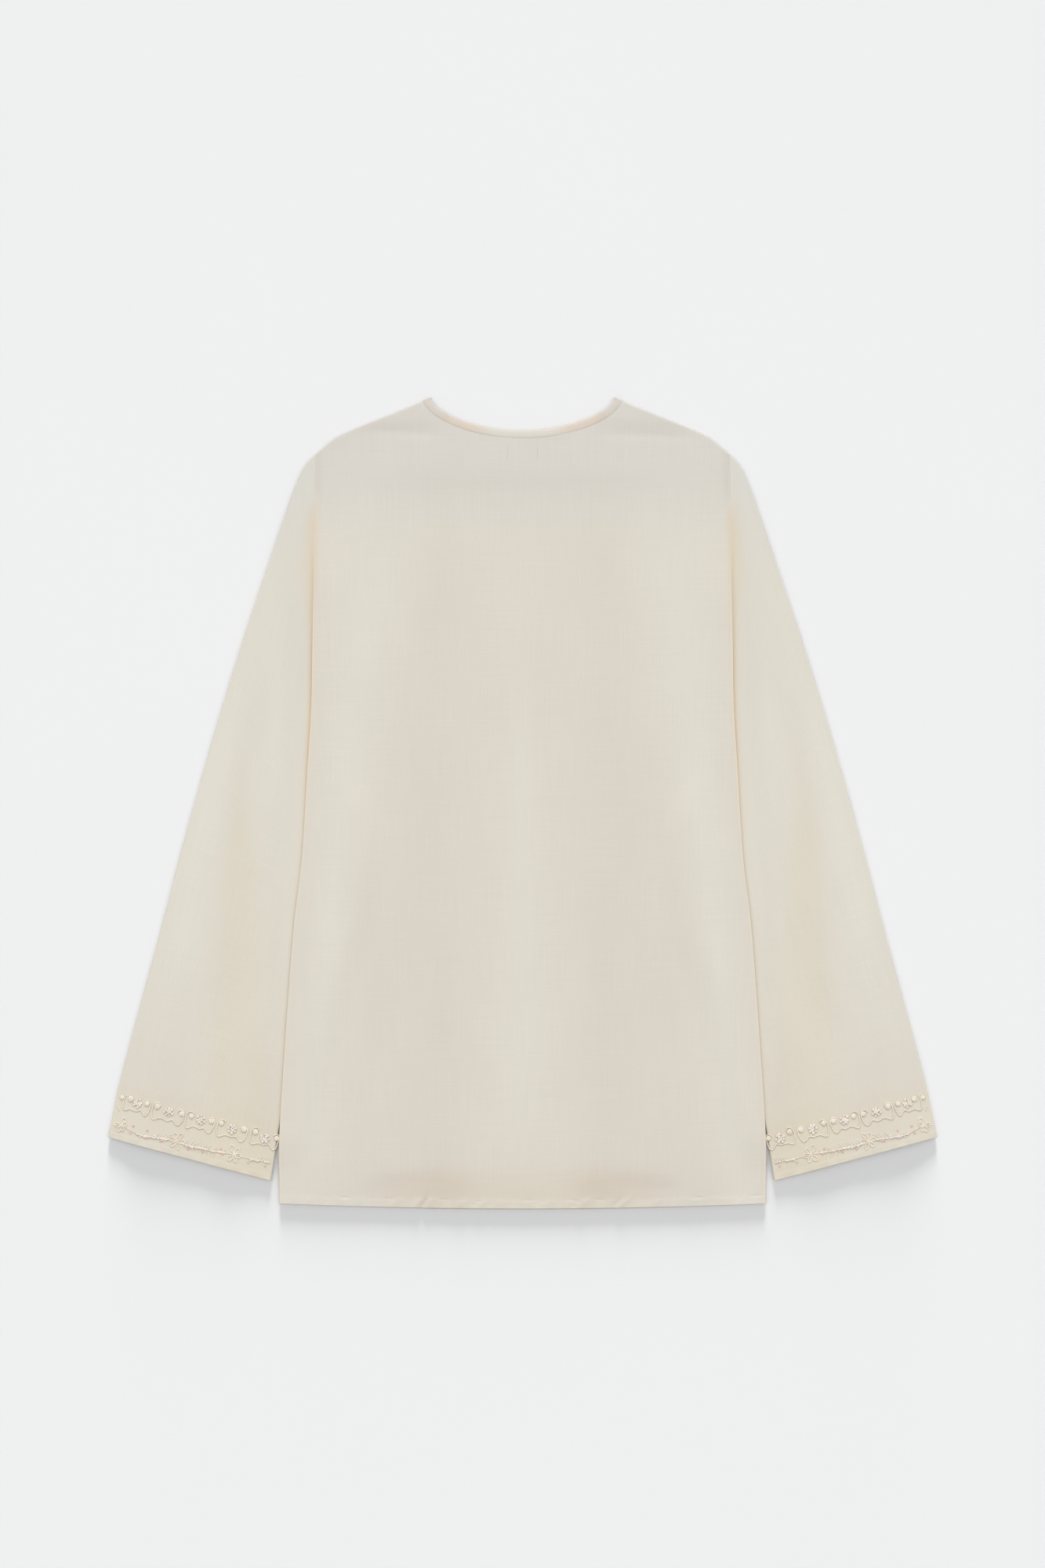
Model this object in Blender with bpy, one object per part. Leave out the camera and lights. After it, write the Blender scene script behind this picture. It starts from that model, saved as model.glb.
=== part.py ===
"""An embroidered top laid flat on a table, back side up.

A collarless blouse of thin slubby cotton. Its front lies on the table and its back lies on the front. Both sleeves
are flattened tubes that hang down beside the body, with their inner sides tucked under it. The neck has a narrow
binding, and each cuff carries two rows of raised embroidery. X runs across the garment, +Y runs up to the neck, and
Z is up from the table. Lengths are in metres.
"""

import math
from collections import namedtuple

import bmesh
import bpy
from mathutils import Vector

# Driving dimensions
CLOTH = 0.0010
SEAM = 0.0003
HEM_HEIGHT = 0.0076
CUFF_HEM_HEIGHT = 0.0056
HEM_RAISE = 0.0005
HEM_STEP = 0.0009
NECK_BINDING_WIDTH = 0.0068
NECK_BINDING_RAISE = 0.0007
NECK_PEAK_X = 0.0839
NECK_PEAK_Y = 0.3715
NECK_BACK_DIP = 0.0303
NECK_FRONT_DIP = 0.150
NECK_ROUNDNESS = 0.625
SHOULDER_X = 0.190
UNDERARM_Y = 0.105
HEM_CENTRE_Y = -0.3733
HEM_CORNER_RISE = 0.0046
FRONT_HEM_SHOWS = 0.0010
SLEEVE_HEIGHT = 0.0024
SLEEVE_SEAM_HEIGHT = 0.0023
SLEEVE_EDGE = 0.0014

# The fullness of a sleeve: how far its upper face bulges, how far in from each side it is full, how much of it the
# sleeve head has, and the soft wave across it
SLEEVE_FULLNESS = 0.0021
SLEEVE_OUTER_ROUND = 0.034
SLEEVE_INNER_FLAT = 0.002
SLEEVE_INNER_ROUND = 0.052
SLEEVE_HEAD_SHARE = 0.45
SLEEVE_HEAD_Y = 0.300
SLEEVE_ARM_Y = 0.120
SLEEVE_WAVE_SHARE = 0.20
SLEEVE_WAVE_CREST = 0.030
SLEEVE_WAVE_LENGTH = 0.110

# How far the body stands off the table where a sleeve is tucked under it, and how that slope starts and ends
TUCK_LIFT = 0.0029
TUCK_SLOPE_START = 0.042
TUCK_SLOPE_END = 0.010
TUCK_START_Y = 0.290
TUCK_TOP_Y = 0.175
TUCK_BOTTOM_Y = -0.305
TUCK_CLEAR_Y = -0.346

Shoulder = namedtuple("Shoulder", "x y")
SHOULDER_LINE = [
    Shoulder(NECK_PEAK_X, NECK_PEAK_Y),
    Shoulder(0.0983, 0.3652),
    Shoulder(0.1688, 0.3362),
    Shoulder(0.1800, 0.3278),
    Shoulder(0.1900, 0.3190),
]

BodyEdge = namedtuple("BodyEdge", "y x")
BODY_EDGE = [
    BodyEdge(-0.3700, 0.2230),
    BodyEdge(-0.3150, 0.2235),
    BodyEdge(-0.2280, 0.2185),
    BodyEdge(-0.1130, 0.2100),
    BodyEdge(-0.0550, 0.2030),
    BodyEdge(0.0250, 0.1978),
    BodyEdge(0.1050, 0.1935),
    BodyEdge(0.3190, 0.1900),
]

# A row for each line across the sleeve, from the armhole down to the cuff: its end on the outer fold, and its end on
# the inner fold
SleeveLine = namedtuple("SleeveLine", "outer_x outer_y inner_x inner_y")
SLEEVE_LINES = [
    SleeveLine(0.1903, 0.3190, 0.1938, 0.1050),
    SleeveLine(0.1975, 0.3120, 0.1960, 0.0960),
    SleeveLine(0.2060, 0.2970, 0.1972, 0.0850),
    SleeveLine(0.2185, 0.2630, 0.1940, 0.0680),
    SleeveLine(0.2345, 0.2150, 0.1835, 0.0440),
    SleeveLine(0.2530, 0.1600, 0.1705, 0.0160),
    SleeveLine(0.2725, 0.0980, 0.1620, -0.0180),
    SleeveLine(0.2925, 0.0300, 0.1605, -0.0600),
    SleeveLine(0.3120, -0.0400, 0.1700, -0.1100),
    SleeveLine(0.3310, -0.1130, 0.1870, -0.1600),
    SleeveLine(0.3500, -0.1830, 0.2050, -0.2240),
    SleeveLine(0.3690, -0.2540, 0.2220, -0.2930),
    SleeveLine(0.3805, -0.3070, 0.2315, -0.3450),
]

# The rounded section of a neck binding: the share of its width, of its height and of its swelling at each corner
BindingCorner = namedtuple("BindingCorner", "across height swell")
BINDING_SECTION = [
    BindingCorner(0.00, 0.00, 0.0),
    BindingCorner(1.00, 0.00, 0.0),
    BindingCorner(1.00, 0.75, 0.3),
    BindingCorner(0.75, 1.00, 1.0),
    BindingCorner(0.25, 1.00, 1.0),
    BindingCorner(0.00, 0.75, 0.3),
]

# The soft folds of the back: each runs from its upper end to its lower end, and widens on the way
Fold = namedtuple("Fold", "top_x top_y low_x low_y top_width low_width height")
BACK_FOLDS = [
    Fold(-0.158, 0.255, -0.172, -0.345, 0.015, 0.022, 0.0017),
    Fold(0.155, 0.240, 0.163, -0.350, 0.014, 0.020, 0.0015),
    Fold(-0.003, 0.060, 0.001, -0.365, 0.012, 0.034, 0.0014),
    Fold(-0.046, 0.305, -0.100, -0.080, 0.022, 0.016, 0.0007),
    Fold(0.052, 0.300, 0.108, -0.020, 0.020, 0.015, 0.0006),
]
FOLD_FADE = 0.070
EDGE_FADE = 0.020

# The embroidery of a cuff, measured along the cuff from its outer fold and up the sleeve from its edge
THREAD_GAP = 0.00045
SCROLL_FIRST = 0.0216
SCROLL_PITCH = 0.0304
SCROLL_UNITS = 5
SCROLL_LINE = 0.0374
SCROLL_CORD = 0.0007
SCROLL_END = 0.1500
FLOWER_RADIUS = 0.0043
DOT_RADIUS = 0.0022
DOT_PLACES = (-0.0106, 0.0096)
LINK_HALF_WIDTH = 0.0005
THREAD_RISE = 0.0012
SPRIG_LINE = 0.0135
SPRIG_START = 0.0035
SPRIG_END = 0.1490
SPRIG_FLOWERS = (0.0117, 0.0639, 0.1194)
SPRIG_FLOWER_RADIUS = 0.0066
KNOT_PITCH = 0.0046
KNOT_HALF_WIDTH = 0.0013
STEM_HALF_WIDTH = 0.0007
STEM_RISE = 0.7 * THREAD_RISE
SPRIG_FLOWER_RISE = 0.8 * THREAD_RISE

# The section of a raised thread, as shares of its half width and of its rise
ThreadCorner = namedtuple("ThreadCorner", "across height")
THREAD_SECTION = [
    ThreadCorner(-1.00, 0.0),
    ThreadCorner(1.00, 0.0),
    ThreadCorner(0.72, 0.7),
    ThreadCorner(0.00, 1.0),
    ThreadCorner(-0.72, 0.7),
]
SWELLING_TURNS = (-90, -55, -20, 20, 55, 90)

# One unit of the couched scroll cord, from the arch between two units to the next
ScrollPoint = namedtuple("ScrollPoint", "along above")
SCROLL_UNIT = [
    ScrollPoint(-0.0139, 0.0400),
    ScrollPoint(-0.0140, 0.0340),
    ScrollPoint(-0.0131, 0.0284),
    ScrollPoint(-0.0095, 0.0276),
    ScrollPoint(-0.0055, 0.0296),
    ScrollPoint(-0.0015, 0.0280),
    ScrollPoint(0.0025, 0.0290),
    ScrollPoint(0.0060, 0.0262),
    ScrollPoint(0.0100, 0.0246),
    ScrollPoint(0.0128, 0.0285),
    ScrollPoint(0.0139, 0.0340),
    ScrollPoint(0.0139, 0.0400),
    ScrollPoint(0.0152, 0.0414),
]

NECK_STEPS = 7
SHOULDER_SHARES = (0.12, 0.28, 0.44, 0.60, 0.74, 0.85, 0.935, 1.0)
PANEL_ROWS = (
    0.0, 0.02, 0.05, 0.09, 0.13, 0.17, 0.21, 0.25, 0.29, 0.33, 0.37, 0.42,
    0.47, 0.53, 0.58, 0.64, 0.70, 0.76, 0.82, 0.87, 0.905, 0.935, 0.965,
)
SLEEVE_TOP_SHARES = (0.06, 0.15, 0.26, 0.38, 0.50, 0.62, 0.74, 0.86, 0.94)
SLEEVE_LOW_SHARES = (0.12, 0.35, 0.65, 0.88)

CLOTH_COLOUR = (0.722, 0.676, 0.600)
BINDING_COLOUR = (0.680, 0.610, 0.525)
THREAD_COLOUR = (0.790, 0.730, 0.620)
KNOT_COLOUR = (0.800, 0.770, 0.740)


def clear_scene():
    for thing in list(bpy.data.objects):
        bpy.data.objects.remove(thing, do_unlink=True)


def smooth_step(start, end, at):
    """0 before start and 1 after end, with a soft rise between them. It also runs downwards."""
    share = min(max((at - start) / (end - start), 0.0), 1.0)
    return share * share * (3.0 - 2.0 * share)


def read_curve(rows, at):
    """The smooth curve through rows of (place, value), with straight ends."""
    last = len(rows) - 1
    i = max(k for k in range(last) if k == 0 or rows[k][0] <= at)
    slopes = []
    for k in (i, i + 1):
        before, after = rows[max(k - 1, 0)], rows[min(k + 1, last)]
        slopes.append((after[1] - before[1]) / (after[0] - before[0]))
    (x0, y0), (x1, y1) = rows[i], rows[i + 1]
    if at <= x0:
        return y0 + (at - x0) * slopes[0]
    if at >= x1:
        return y1 + (at - x1) * slopes[1]
    step = x1 - x0
    t = (at - x0) / step
    return (
        (2 * t**3 - 3 * t**2 + 1) * y0
        + (t**3 - 2 * t**2 + t) * step * slopes[0]
        + (3 * t**2 - 2 * t**3) * y1
        + (t**3 - t**2) * step * slopes[1]
    )


def body_edge(y):
    """Half the width of the body at a height, straight along the armhole."""
    if y >= UNDERARM_Y:
        low, high = BODY_EDGE[-2], BODY_EDGE[-1]
        share = min((y - low.y) / (high.y - low.y), 1.0)
        return low.x + share * (high.x - low.x)
    return read_curve(BODY_EDGE, y)


OUTER_FOLD = [(line.outer_y, line.outer_x) for line in reversed(SLEEVE_LINES)]
INNER_FOLD = [(line.inner_y, line.inner_x) for line in reversed(SLEEVE_LINES)]


def tuck_lift(x, y):
    """How far the body stands off the table at a point, over the tucked sides of the sleeves."""
    reach = read_curve(INNER_FOLD, min(y, UNDERARM_Y))
    across = smooth_step(reach - TUCK_SLOPE_START, reach - TUCK_SLOPE_END, abs(x))
    below_shoulder = smooth_step(TUCK_START_Y, TUCK_TOP_Y, y)
    above_cuff = smooth_step(TUCK_CLEAR_Y, TUCK_BOTTOM_Y, y)
    return TUCK_LIFT * across * below_shoulder * above_cuff


def shoulder_y(x):
    return read_curve(SHOULDER_LINE, abs(x))


NECK_EDGE_X = NECK_PEAK_X + NECK_BINDING_WIDTH + SEAM


def neck_y(x, dip):
    """The height of a panel's neck edge, which lies one binding's width below the neckline."""
    peak = shoulder_y(NECK_EDGE_X)
    low = NECK_PEAK_Y - dip - NECK_BINDING_WIDTH - SEAM
    return peak - (peak - low) * max(1.0 - (x / NECK_EDGE_X) ** 2, 0.0) ** NECK_ROUNDNESS


def half_columns():
    """The places of a panel's columns along its top edge, from the middle to the armhole."""
    neck = [NECK_EDGE_X * math.sin(math.pi / 2 * k / NECK_STEPS) for k in range(NECK_STEPS + 1)]
    shoulder = [NECK_EDGE_X + (SHOULDER_X - NECK_EDGE_X) * share for share in SHOULDER_SHARES]
    return neck + shoulder


def all_columns():
    half = half_columns()
    return [-x for x in reversed(half[1:])] + half


def panel_outline(dip, hem_drop):
    """Rows of plan points (x, y) from the top edge to the hem, a point for each column."""
    columns = []
    for top_x in all_columns():
        across = top_x / SHOULDER_X
        top = neck_y(top_x, dip) if abs(top_x) < NECK_EDGE_X - 1e-6 else shoulder_y(top_x)
        hem = HEM_CENTRE_Y + HEM_CORNER_RISE * across**2 - hem_drop * (1.0 - across**2)
        heights = [top + (hem - top) * share for share in PANEL_ROWS]
        heights += [hem + HEM_HEIGHT + HEM_STEP, hem + HEM_HEIGHT, hem]
        columns.append([(across * body_edge(y), y) for y in heights])
    return [list(row) for row in zip(*columns)]


def fold_height(x, y):
    """The rise of the back's soft folds over the front."""
    total = 0.0
    for fold in BACK_FOLDS:
        share = (fold.top_y - y) / (fold.top_y - fold.low_y)
        centre = fold.top_x + (fold.low_x - fold.top_x) * share
        width = fold.top_width + (fold.low_width - fold.top_width) * min(max(share, 0.0), 1.0)
        ends = smooth_step(fold.top_y + FOLD_FADE / 2, fold.top_y - FOLD_FADE, y)
        ends *= smooth_step(fold.low_y - FOLD_FADE / 2, fold.low_y + FOLD_FADE / 2, y)
        total += fold.height * ends * math.exp(-(((x - centre) / width) ** 2) / 2)
    return total


def edge_fade(x, y):
    """0 on the outline of the back and 1 well inside it."""
    top = neck_y(x, NECK_BACK_DIP) if abs(x) < NECK_EDGE_X else shoulder_y(x)
    inside = min(body_edge(y) - abs(x), top - y, y - HEM_CENTRE_Y)
    return smooth_step(0.0, EDGE_FADE, inside)


def new_object(name, bm, material):
    bmesh.ops.recalc_face_normals(bm, faces=bm.faces)
    mesh = bpy.data.meshes.new(name)
    bm.to_mesh(mesh)
    bm.free()
    mesh.materials.append(material)
    mesh.shade_smooth()
    mesh.set_sharp_from_angle(angle=math.radians(35))
    thing = bpy.data.objects.new(name, mesh)
    bpy.context.scene.collection.objects.link(thing)
    return thing


def cloth_material(name, colour, roughness):
    material = bpy.data.materials.new(name)
    material.use_nodes = True
    shader = material.node_tree.nodes["Principled BSDF"]
    shader.inputs["Base Color"].default_value = (*colour, 1.0)
    shader.inputs["Roughness"].default_value = roughness
    shader.inputs["Metallic"].default_value = 0.0
    return material


def slab(name, low_rows, high_rows, material):
    """A closed sheet between two grids of points that match row by row."""
    bm = bmesh.new()
    low = [[bm.verts.new(point) for point in row] for row in low_rows]
    high = [[bm.verts.new(point) for point in row] for row in high_rows]
    rows, columns = len(low), len(low[0])
    for i in range(rows - 1):
        for j in range(columns - 1):
            bm.faces.new((low[i][j], low[i][j + 1], low[i + 1][j + 1], low[i + 1][j]))
            bm.faces.new((high[i][j], high[i + 1][j], high[i + 1][j + 1], high[i][j + 1]))
    rim = [(0, j) for j in range(columns)] + [(i, columns - 1) for i in range(1, rows)]
    rim += [(rows - 1, j) for j in range(columns - 2, -1, -1)] + [(i, 0) for i in range(rows - 2, 0, -1)]
    for (i, j), (k, m) in zip(rim, rim[1:] + rim[:1]):
        bm.faces.new((low[i][j], high[i][j], high[k][m], low[k][m]))
    return new_object(name, bm, material)


def hem_raise(row, rows):
    return HEM_RAISE if row >= rows - 2 else 0.0


def make_front(material):
    outline = panel_outline(NECK_FRONT_DIP, FRONT_HEM_SHOWS)
    low = [[Vector((x, y, tuck_lift(x, y))) for x, y in row] for row in outline]
    high = [[point + Vector((0.0, 0.0, CLOTH)) for point in row] for row in low]
    slab("front", low, high, material)


def make_back(material):
    outline = panel_outline(NECK_BACK_DIP, 0.0)
    low = []
    high = []
    for i, row in enumerate(outline):
        rest = [CLOTH + SEAM + tuck_lift(x, y) + edge_fade(x, y) * fold_height(x, y) for x, y in row]
        low.append([Vector((x, y, z)) for (x, y), z in zip(row, rest)])
        thick = CLOTH + hem_raise(i, len(outline))
        high.append([point + Vector((0.0, 0.0, thick)) for point in low[-1]])
    slab("back", low, high, material)


def sleeve_line(at):
    """The two ends of the line across the sleeve at a place in the table, which may lie between rows."""
    ends = []
    for column in range(4):
        ends.append(read_curve([(k, line[column]) for k, line in enumerate(SLEEVE_LINES)], at))
    return Vector(ends[:2]), Vector(ends[2:])


def sleeve_top(x, y):
    """The height of the sleeve's upper face at a point, low beside the body and full along the arm."""
    from_outer = read_curve(OUTER_FOLD, y) - x
    inner = max(body_edge(y), read_curve(INNER_FOLD, min(y, UNDERARM_Y)))
    from_inner = x - inner
    full = smooth_step(0.0, SLEEVE_OUTER_ROUND, from_outer)
    full *= smooth_step(SLEEVE_INNER_FLAT, SLEEVE_INNER_ROUND, from_inner)
    full *= SLEEVE_HEAD_SHARE + (1.0 - SLEEVE_HEAD_SHARE) * smooth_step(SLEEVE_HEAD_Y, SLEEVE_ARM_Y, y)
    turn = math.tau * (from_outer - SLEEVE_WAVE_CREST) / SLEEVE_WAVE_LENGTH
    wave = 1.0 - SLEEVE_WAVE_SHARE * (1.0 - math.cos(turn))
    return SLEEVE_HEIGHT + SLEEVE_FULLNESS * full * wave


def sleeve_section(at, raise_top):
    """The outer and the inner loop of the sleeve's wall on one line across it."""
    outer, inner = sleeve_line(at)
    width = (inner - outer).length
    across = (inner - outer) / width
    seam = smooth_step(1.0, 0.0, at)

    def lift(distance):
        """The rise of the tube's armhole end, which is level with the body that it is sewn to."""
        spot = outer + across * distance
        return seam * tuck_lift(body_edge(spot.y), spot.y)

    def top(distance):
        spot = outer + across * distance
        height = sleeve_top(*spot) * (1.0 - seam) + SLEEVE_SEAM_HEIGHT * seam
        return height + raise_top

    def place(distance, height):
        spot = outer + across * distance
        return Vector((spot.x, spot.y, height + lift(distance)))

    wall_loop = [place(0.0, top(SLEEVE_EDGE) / 2)]
    room_loop = [place(CLOTH, top(SLEEVE_EDGE) / 2)]
    low = [SLEEVE_EDGE] + [width * share for share in SLEEVE_LOW_SHARES] + [width - SLEEVE_EDGE]
    high = [width - SLEEVE_EDGE] + [width * share for share in reversed(SLEEVE_TOP_SHARES)] + [SLEEVE_EDGE]
    for distance in low:
        wall_loop.append(place(distance, 0.0))
        room_loop.append(place(min(max(distance, 2 * CLOTH), width - 2 * CLOTH), CLOTH))
    wall_loop.append(place(width, top(width - SLEEVE_EDGE) / 2))
    room_loop.append(place(width - CLOTH, top(width - SLEEVE_EDGE) / 2))
    for distance in high:
        wall_loop.append(place(distance, top(distance)))
        room = min(max(distance, 2 * CLOTH), width - 2 * CLOTH)
        room_loop.append(place(room, top(distance) - raise_top - CLOTH))
    return wall_loop, room_loop


def make_sleeve(name, side, material):
    """A flattened tube, open at the armhole and at the cuff. side is -1 for the left and 1 for the right."""
    last = len(SLEEVE_LINES) - 1
    outer, inner = sleeve_line(last)
    before = sleeve_line(last - 1)[0]
    band = CUFF_HEM_HEIGHT / (outer - before).length
    step = HEM_STEP / (outer - before).length
    stations = [(k / 2, 0.0) for k in range(2 * last)]
    stations += [(last - band - step, 0.0), (last - band, HEM_RAISE), (last, HEM_RAISE)]
    bm = bmesh.new()
    walls = []
    rooms = []
    for at, raise_top in stations:
        wall, room = sleeve_section(at, raise_top)
        walls.append([bm.verts.new((side * p.x, p.y, p.z)) for p in wall])
        rooms.append([bm.verts.new((side * p.x, p.y, p.z)) for p in room])
    count = len(walls[0])
    for loops in (walls, rooms):
        for upper, lower in zip(loops, loops[1:]):
            for j in range(count):
                k = (j + 1) % count
                bm.faces.new((upper[j], upper[k], lower[k], lower[j]))
    for end in (0, -1):
        for j in range(count):
            k = (j + 1) % count
            bm.faces.new((walls[end][j], walls[end][k], rooms[end][k], rooms[end][j]))
    return new_object(name, bm, material)


def neck_points(dip):
    """Points along a panel's neck edge with the way out of the cloth at each, from left to right."""
    columns = [x for x in all_columns() if abs(x) <= NECK_EDGE_X + 1e-6]
    edge = [Vector((x, neck_y(x, dip) if abs(x) < NECK_EDGE_X - 1e-6 else shoulder_y(x))) for x in columns]
    found = []
    for i, point in enumerate(edge):
        run = edge[min(i + 1, len(edge) - 1)] - edge[max(i - 1, 0)]
        found.append((point, Vector((-run.y, run.x)).normalized()))
    return found


def make_neck_binding(name, dip, bottom, middle_raise, material):
    """A flat rounded band along a neck edge, a seam's gap away from the panel."""
    bm = bmesh.new()
    loops = []
    points = neck_points(dip)
    for i, (edge, out) in enumerate(points):
        near = edge + out * SEAM
        far = edge + out * (SEAM + NECK_BINDING_WIDTH)
        if i in (0, len(points) - 1):
            side = math.copysign(1.0, edge.x)
            far = Vector((side * NECK_PEAK_X, NECK_PEAK_Y))
            near = edge - Vector((side * SEAM, 0.0))
        loop = []
        for corner in BINDING_SECTION:
            spot = near + (far - near) * corner.across
            height = bottom + CLOTH * corner.height + middle_raise * corner.swell
            loop.append(bm.verts.new((spot.x, spot.y, height)))
        loops.append(loop)
    count = len(loops[0])
    for first, second in zip(loops, loops[1:]):
        for j in range(count):
            k = (j + 1) % count
            bm.faces.new((first[j], first[k], second[k], second[j]))
    bm.faces.new(loops[0])
    bm.faces.new(reversed(loops[-1]))
    return new_object(name, bm, material)


def cuff_place(along, above):
    """The point on the upper face of the right sleeve at a place on its cuff."""
    outer, inner = sleeve_line(len(SLEEVE_LINES) - 1)
    run = (inner - outer).normalized()
    up = Vector((run.y, -run.x))
    spot = outer + run * along + up * above
    return Vector((spot.x, spot.y, sleeve_top(*spot)))


def thread_body(name, side, stations, material):
    """One raised stretch of thread on a cuff. A station is its place, its half width and its rise."""
    bm = bmesh.new()
    loops = []
    places = [cuff_place(along, above) for along, above, _, _ in stations]
    for i, (_, _, half_width, rise) in enumerate(stations):
        run = places[min(i + 1, len(places) - 1)] - places[max(i - 1, 0)]
        across = Vector((-run.y, run.x, 0.0)).normalized()
        loop = []
        for corner in THREAD_SECTION:
            point = places[i] + across * (corner.across * half_width)
            loop.append(bm.verts.new((side * point.x, point.y, point.z + THREAD_GAP + corner.height * rise)))
        loops.append(loop)
    count = len(loops[0])
    for first, second in zip(loops, loops[1:]):
        for j in range(count):
            k = (j + 1) % count
            bm.faces.new((first[j], first[k], second[k], second[j]))
    bm.faces.new(loops[0])
    bm.faces.new(reversed(loops[-1]))
    return new_object(name, bm, material)


def swelling(centre, above, radius, neck, rise):
    """Stations of a round swelling on a straight stretch of thread, as thick as neck at both its ends."""
    found = []
    for turn in SWELLING_TURNS:
        angle = math.radians(turn)
        half_width = neck + (radius - neck) * math.cos(angle)
        found.append((centre + radius * math.sin(angle), above, half_width, rise))
    return found


def make_scroll_row(name, side, material):
    """The couched cord that runs under the flowers and arches up between them."""
    stations = []
    for k in range(SCROLL_UNITS):
        centre = SCROLL_FIRST + SCROLL_PITCH * k
        for point in SCROLL_UNIT:
            if centre + point.along < SCROLL_END:
                stations.append((centre + point.along, point.above, SCROLL_CORD, THREAD_RISE))
    return thread_body(name, side, stations, material)


def make_flower_cluster(name, side, unit, material):
    """A knot flower between its two satin dots, joined by a carried thread."""
    centre = SCROLL_FIRST + SCROLL_PITCH * unit
    stations = []
    for place, radius in ((DOT_PLACES[0], DOT_RADIUS), (0.0, FLOWER_RADIUS), (DOT_PLACES[1], DOT_RADIUS)):
        if centre + place + radius < SCROLL_END:
            stations += swelling(centre + place, SCROLL_LINE, radius, LINK_HALF_WIDTH, THREAD_RISE)
    return thread_body(name, side, stations, material)


def make_sprig_row(name, side, material):
    """A stem of wrapped knots that runs through three looped flowers."""
    stations = []
    start = SPRIG_START
    for centre in (*SPRIG_FLOWERS, SPRIG_END + SPRIG_FLOWER_RADIUS):
        end = centre - SPRIG_FLOWER_RADIUS
        knots = int((end - start) / KNOT_PITCH)
        for k in range(knots):
            at = start + (end - start) * (k + 0.5) / knots
            stations.append((at - KNOT_PITCH / 4, SPRIG_LINE, STEM_HALF_WIDTH, STEM_RISE))
            stations.append((at + KNOT_PITCH / 4, SPRIG_LINE, KNOT_HALF_WIDTH, THREAD_RISE))
        if centre < SPRIG_END:
            stations += swelling(centre, SPRIG_LINE, SPRIG_FLOWER_RADIUS, STEM_HALF_WIDTH, SPRIG_FLOWER_RISE)
        start = centre + SPRIG_FLOWER_RADIUS
    return thread_body(name, side, stations, material)


def main():
    clear_scene()
    cloth = cloth_material("ivory_cotton", CLOTH_COLOUR, 0.9)
    binding = cloth_material("neck_binding_cotton", BINDING_COLOUR, 0.9)
    make_front(cloth)
    make_back(cloth)
    make_sleeve("sleeve_left", -1, cloth)
    make_sleeve("sleeve_right", 1, cloth)
    make_neck_binding("neck_binding_front", NECK_FRONT_DIP, 0.0, 0.0, binding)
    make_neck_binding("neck_binding_back", NECK_BACK_DIP, CLOTH + SEAM, NECK_BINDING_RAISE, binding)
    thread = cloth_material("cream_thread", THREAD_COLOUR, 0.55)
    knots = cloth_material("knot_thread", KNOT_COLOUR, 0.5)
    for side, word in ((-1, "left"), (1, "right")):
        make_scroll_row(f"scroll_row_{word}", side, thread)
        make_sprig_row(f"sprig_row_{word}", side, thread)
        for unit in range(SCROLL_UNITS):
            make_flower_cluster(f"flower_cluster_{word}_{unit + 1}", side, unit, knots)


main()
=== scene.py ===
# %% [markdown]
# # An embroidered top, laid flat
#
# This lesson dresses a plain CAD part until it looks like a real garment. The garment is a collarless
# blouse of thin slubby cotton with embroidered cuffs. It lies on a pale table with its back up, and the
# camera looks straight down. The CAD part comes first, because every piece that follows takes its place
# from it.

import math
import random

import bmesh
import bpy
from mathutils import Matrix, Vector, noise


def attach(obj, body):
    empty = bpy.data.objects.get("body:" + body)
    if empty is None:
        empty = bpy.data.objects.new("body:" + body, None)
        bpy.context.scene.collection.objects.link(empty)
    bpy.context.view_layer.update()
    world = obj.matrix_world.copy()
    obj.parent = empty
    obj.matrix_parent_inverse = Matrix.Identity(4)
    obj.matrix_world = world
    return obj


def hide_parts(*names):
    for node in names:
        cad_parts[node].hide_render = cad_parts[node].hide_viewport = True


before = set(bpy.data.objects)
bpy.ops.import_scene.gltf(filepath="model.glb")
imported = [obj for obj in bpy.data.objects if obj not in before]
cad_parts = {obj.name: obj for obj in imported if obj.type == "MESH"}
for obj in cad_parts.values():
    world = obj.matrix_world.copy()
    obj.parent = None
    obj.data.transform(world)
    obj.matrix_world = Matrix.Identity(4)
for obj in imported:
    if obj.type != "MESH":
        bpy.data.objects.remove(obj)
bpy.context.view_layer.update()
print("CAD nodes:", len(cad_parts))

# %% [markdown]
# ## Camera, table and light
#
# A flat lay is photographed from straight above. A long lens from four metres keeps the garment free of
# perspective, as in the photograph. The light is soft from all round, and a low, broad light beyond the
# neck throws the faint soft shadow that shows below the hem. A sun lamp gives such a light evenly, and its
# angle sets how soft the shadow is.

# %% Place the camera
camera_data = bpy.data.cameras.new("camera")
camera_data.lens = 100
camera_data.sensor_width = 36
camera = bpy.data.objects.new("camera", camera_data)
camera.location = (0.0, 0.01656, 4.0)
bpy.context.scene.collection.objects.link(camera)
bpy.context.scene.camera = camera
bpy.context.scene.view_settings.view_transform = "Standard"
print("camera height in metres:", camera.location.z)


# %% Light the table
def add_sun(name, direction_from, strength, softness):
    """A lamp infinitely far away. direction_from points from the table to the lamp."""
    data = bpy.data.lights.new(name, "SUN")
    data.energy = strength
    data.angle = math.radians(softness)
    lamp = bpy.data.objects.new(name, data)
    lamp.rotation_euler = Vector(direction_from).to_track_quat("Z", "Y").to_euler()
    bpy.context.scene.collection.objects.link(lamp)
    return lamp


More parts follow.
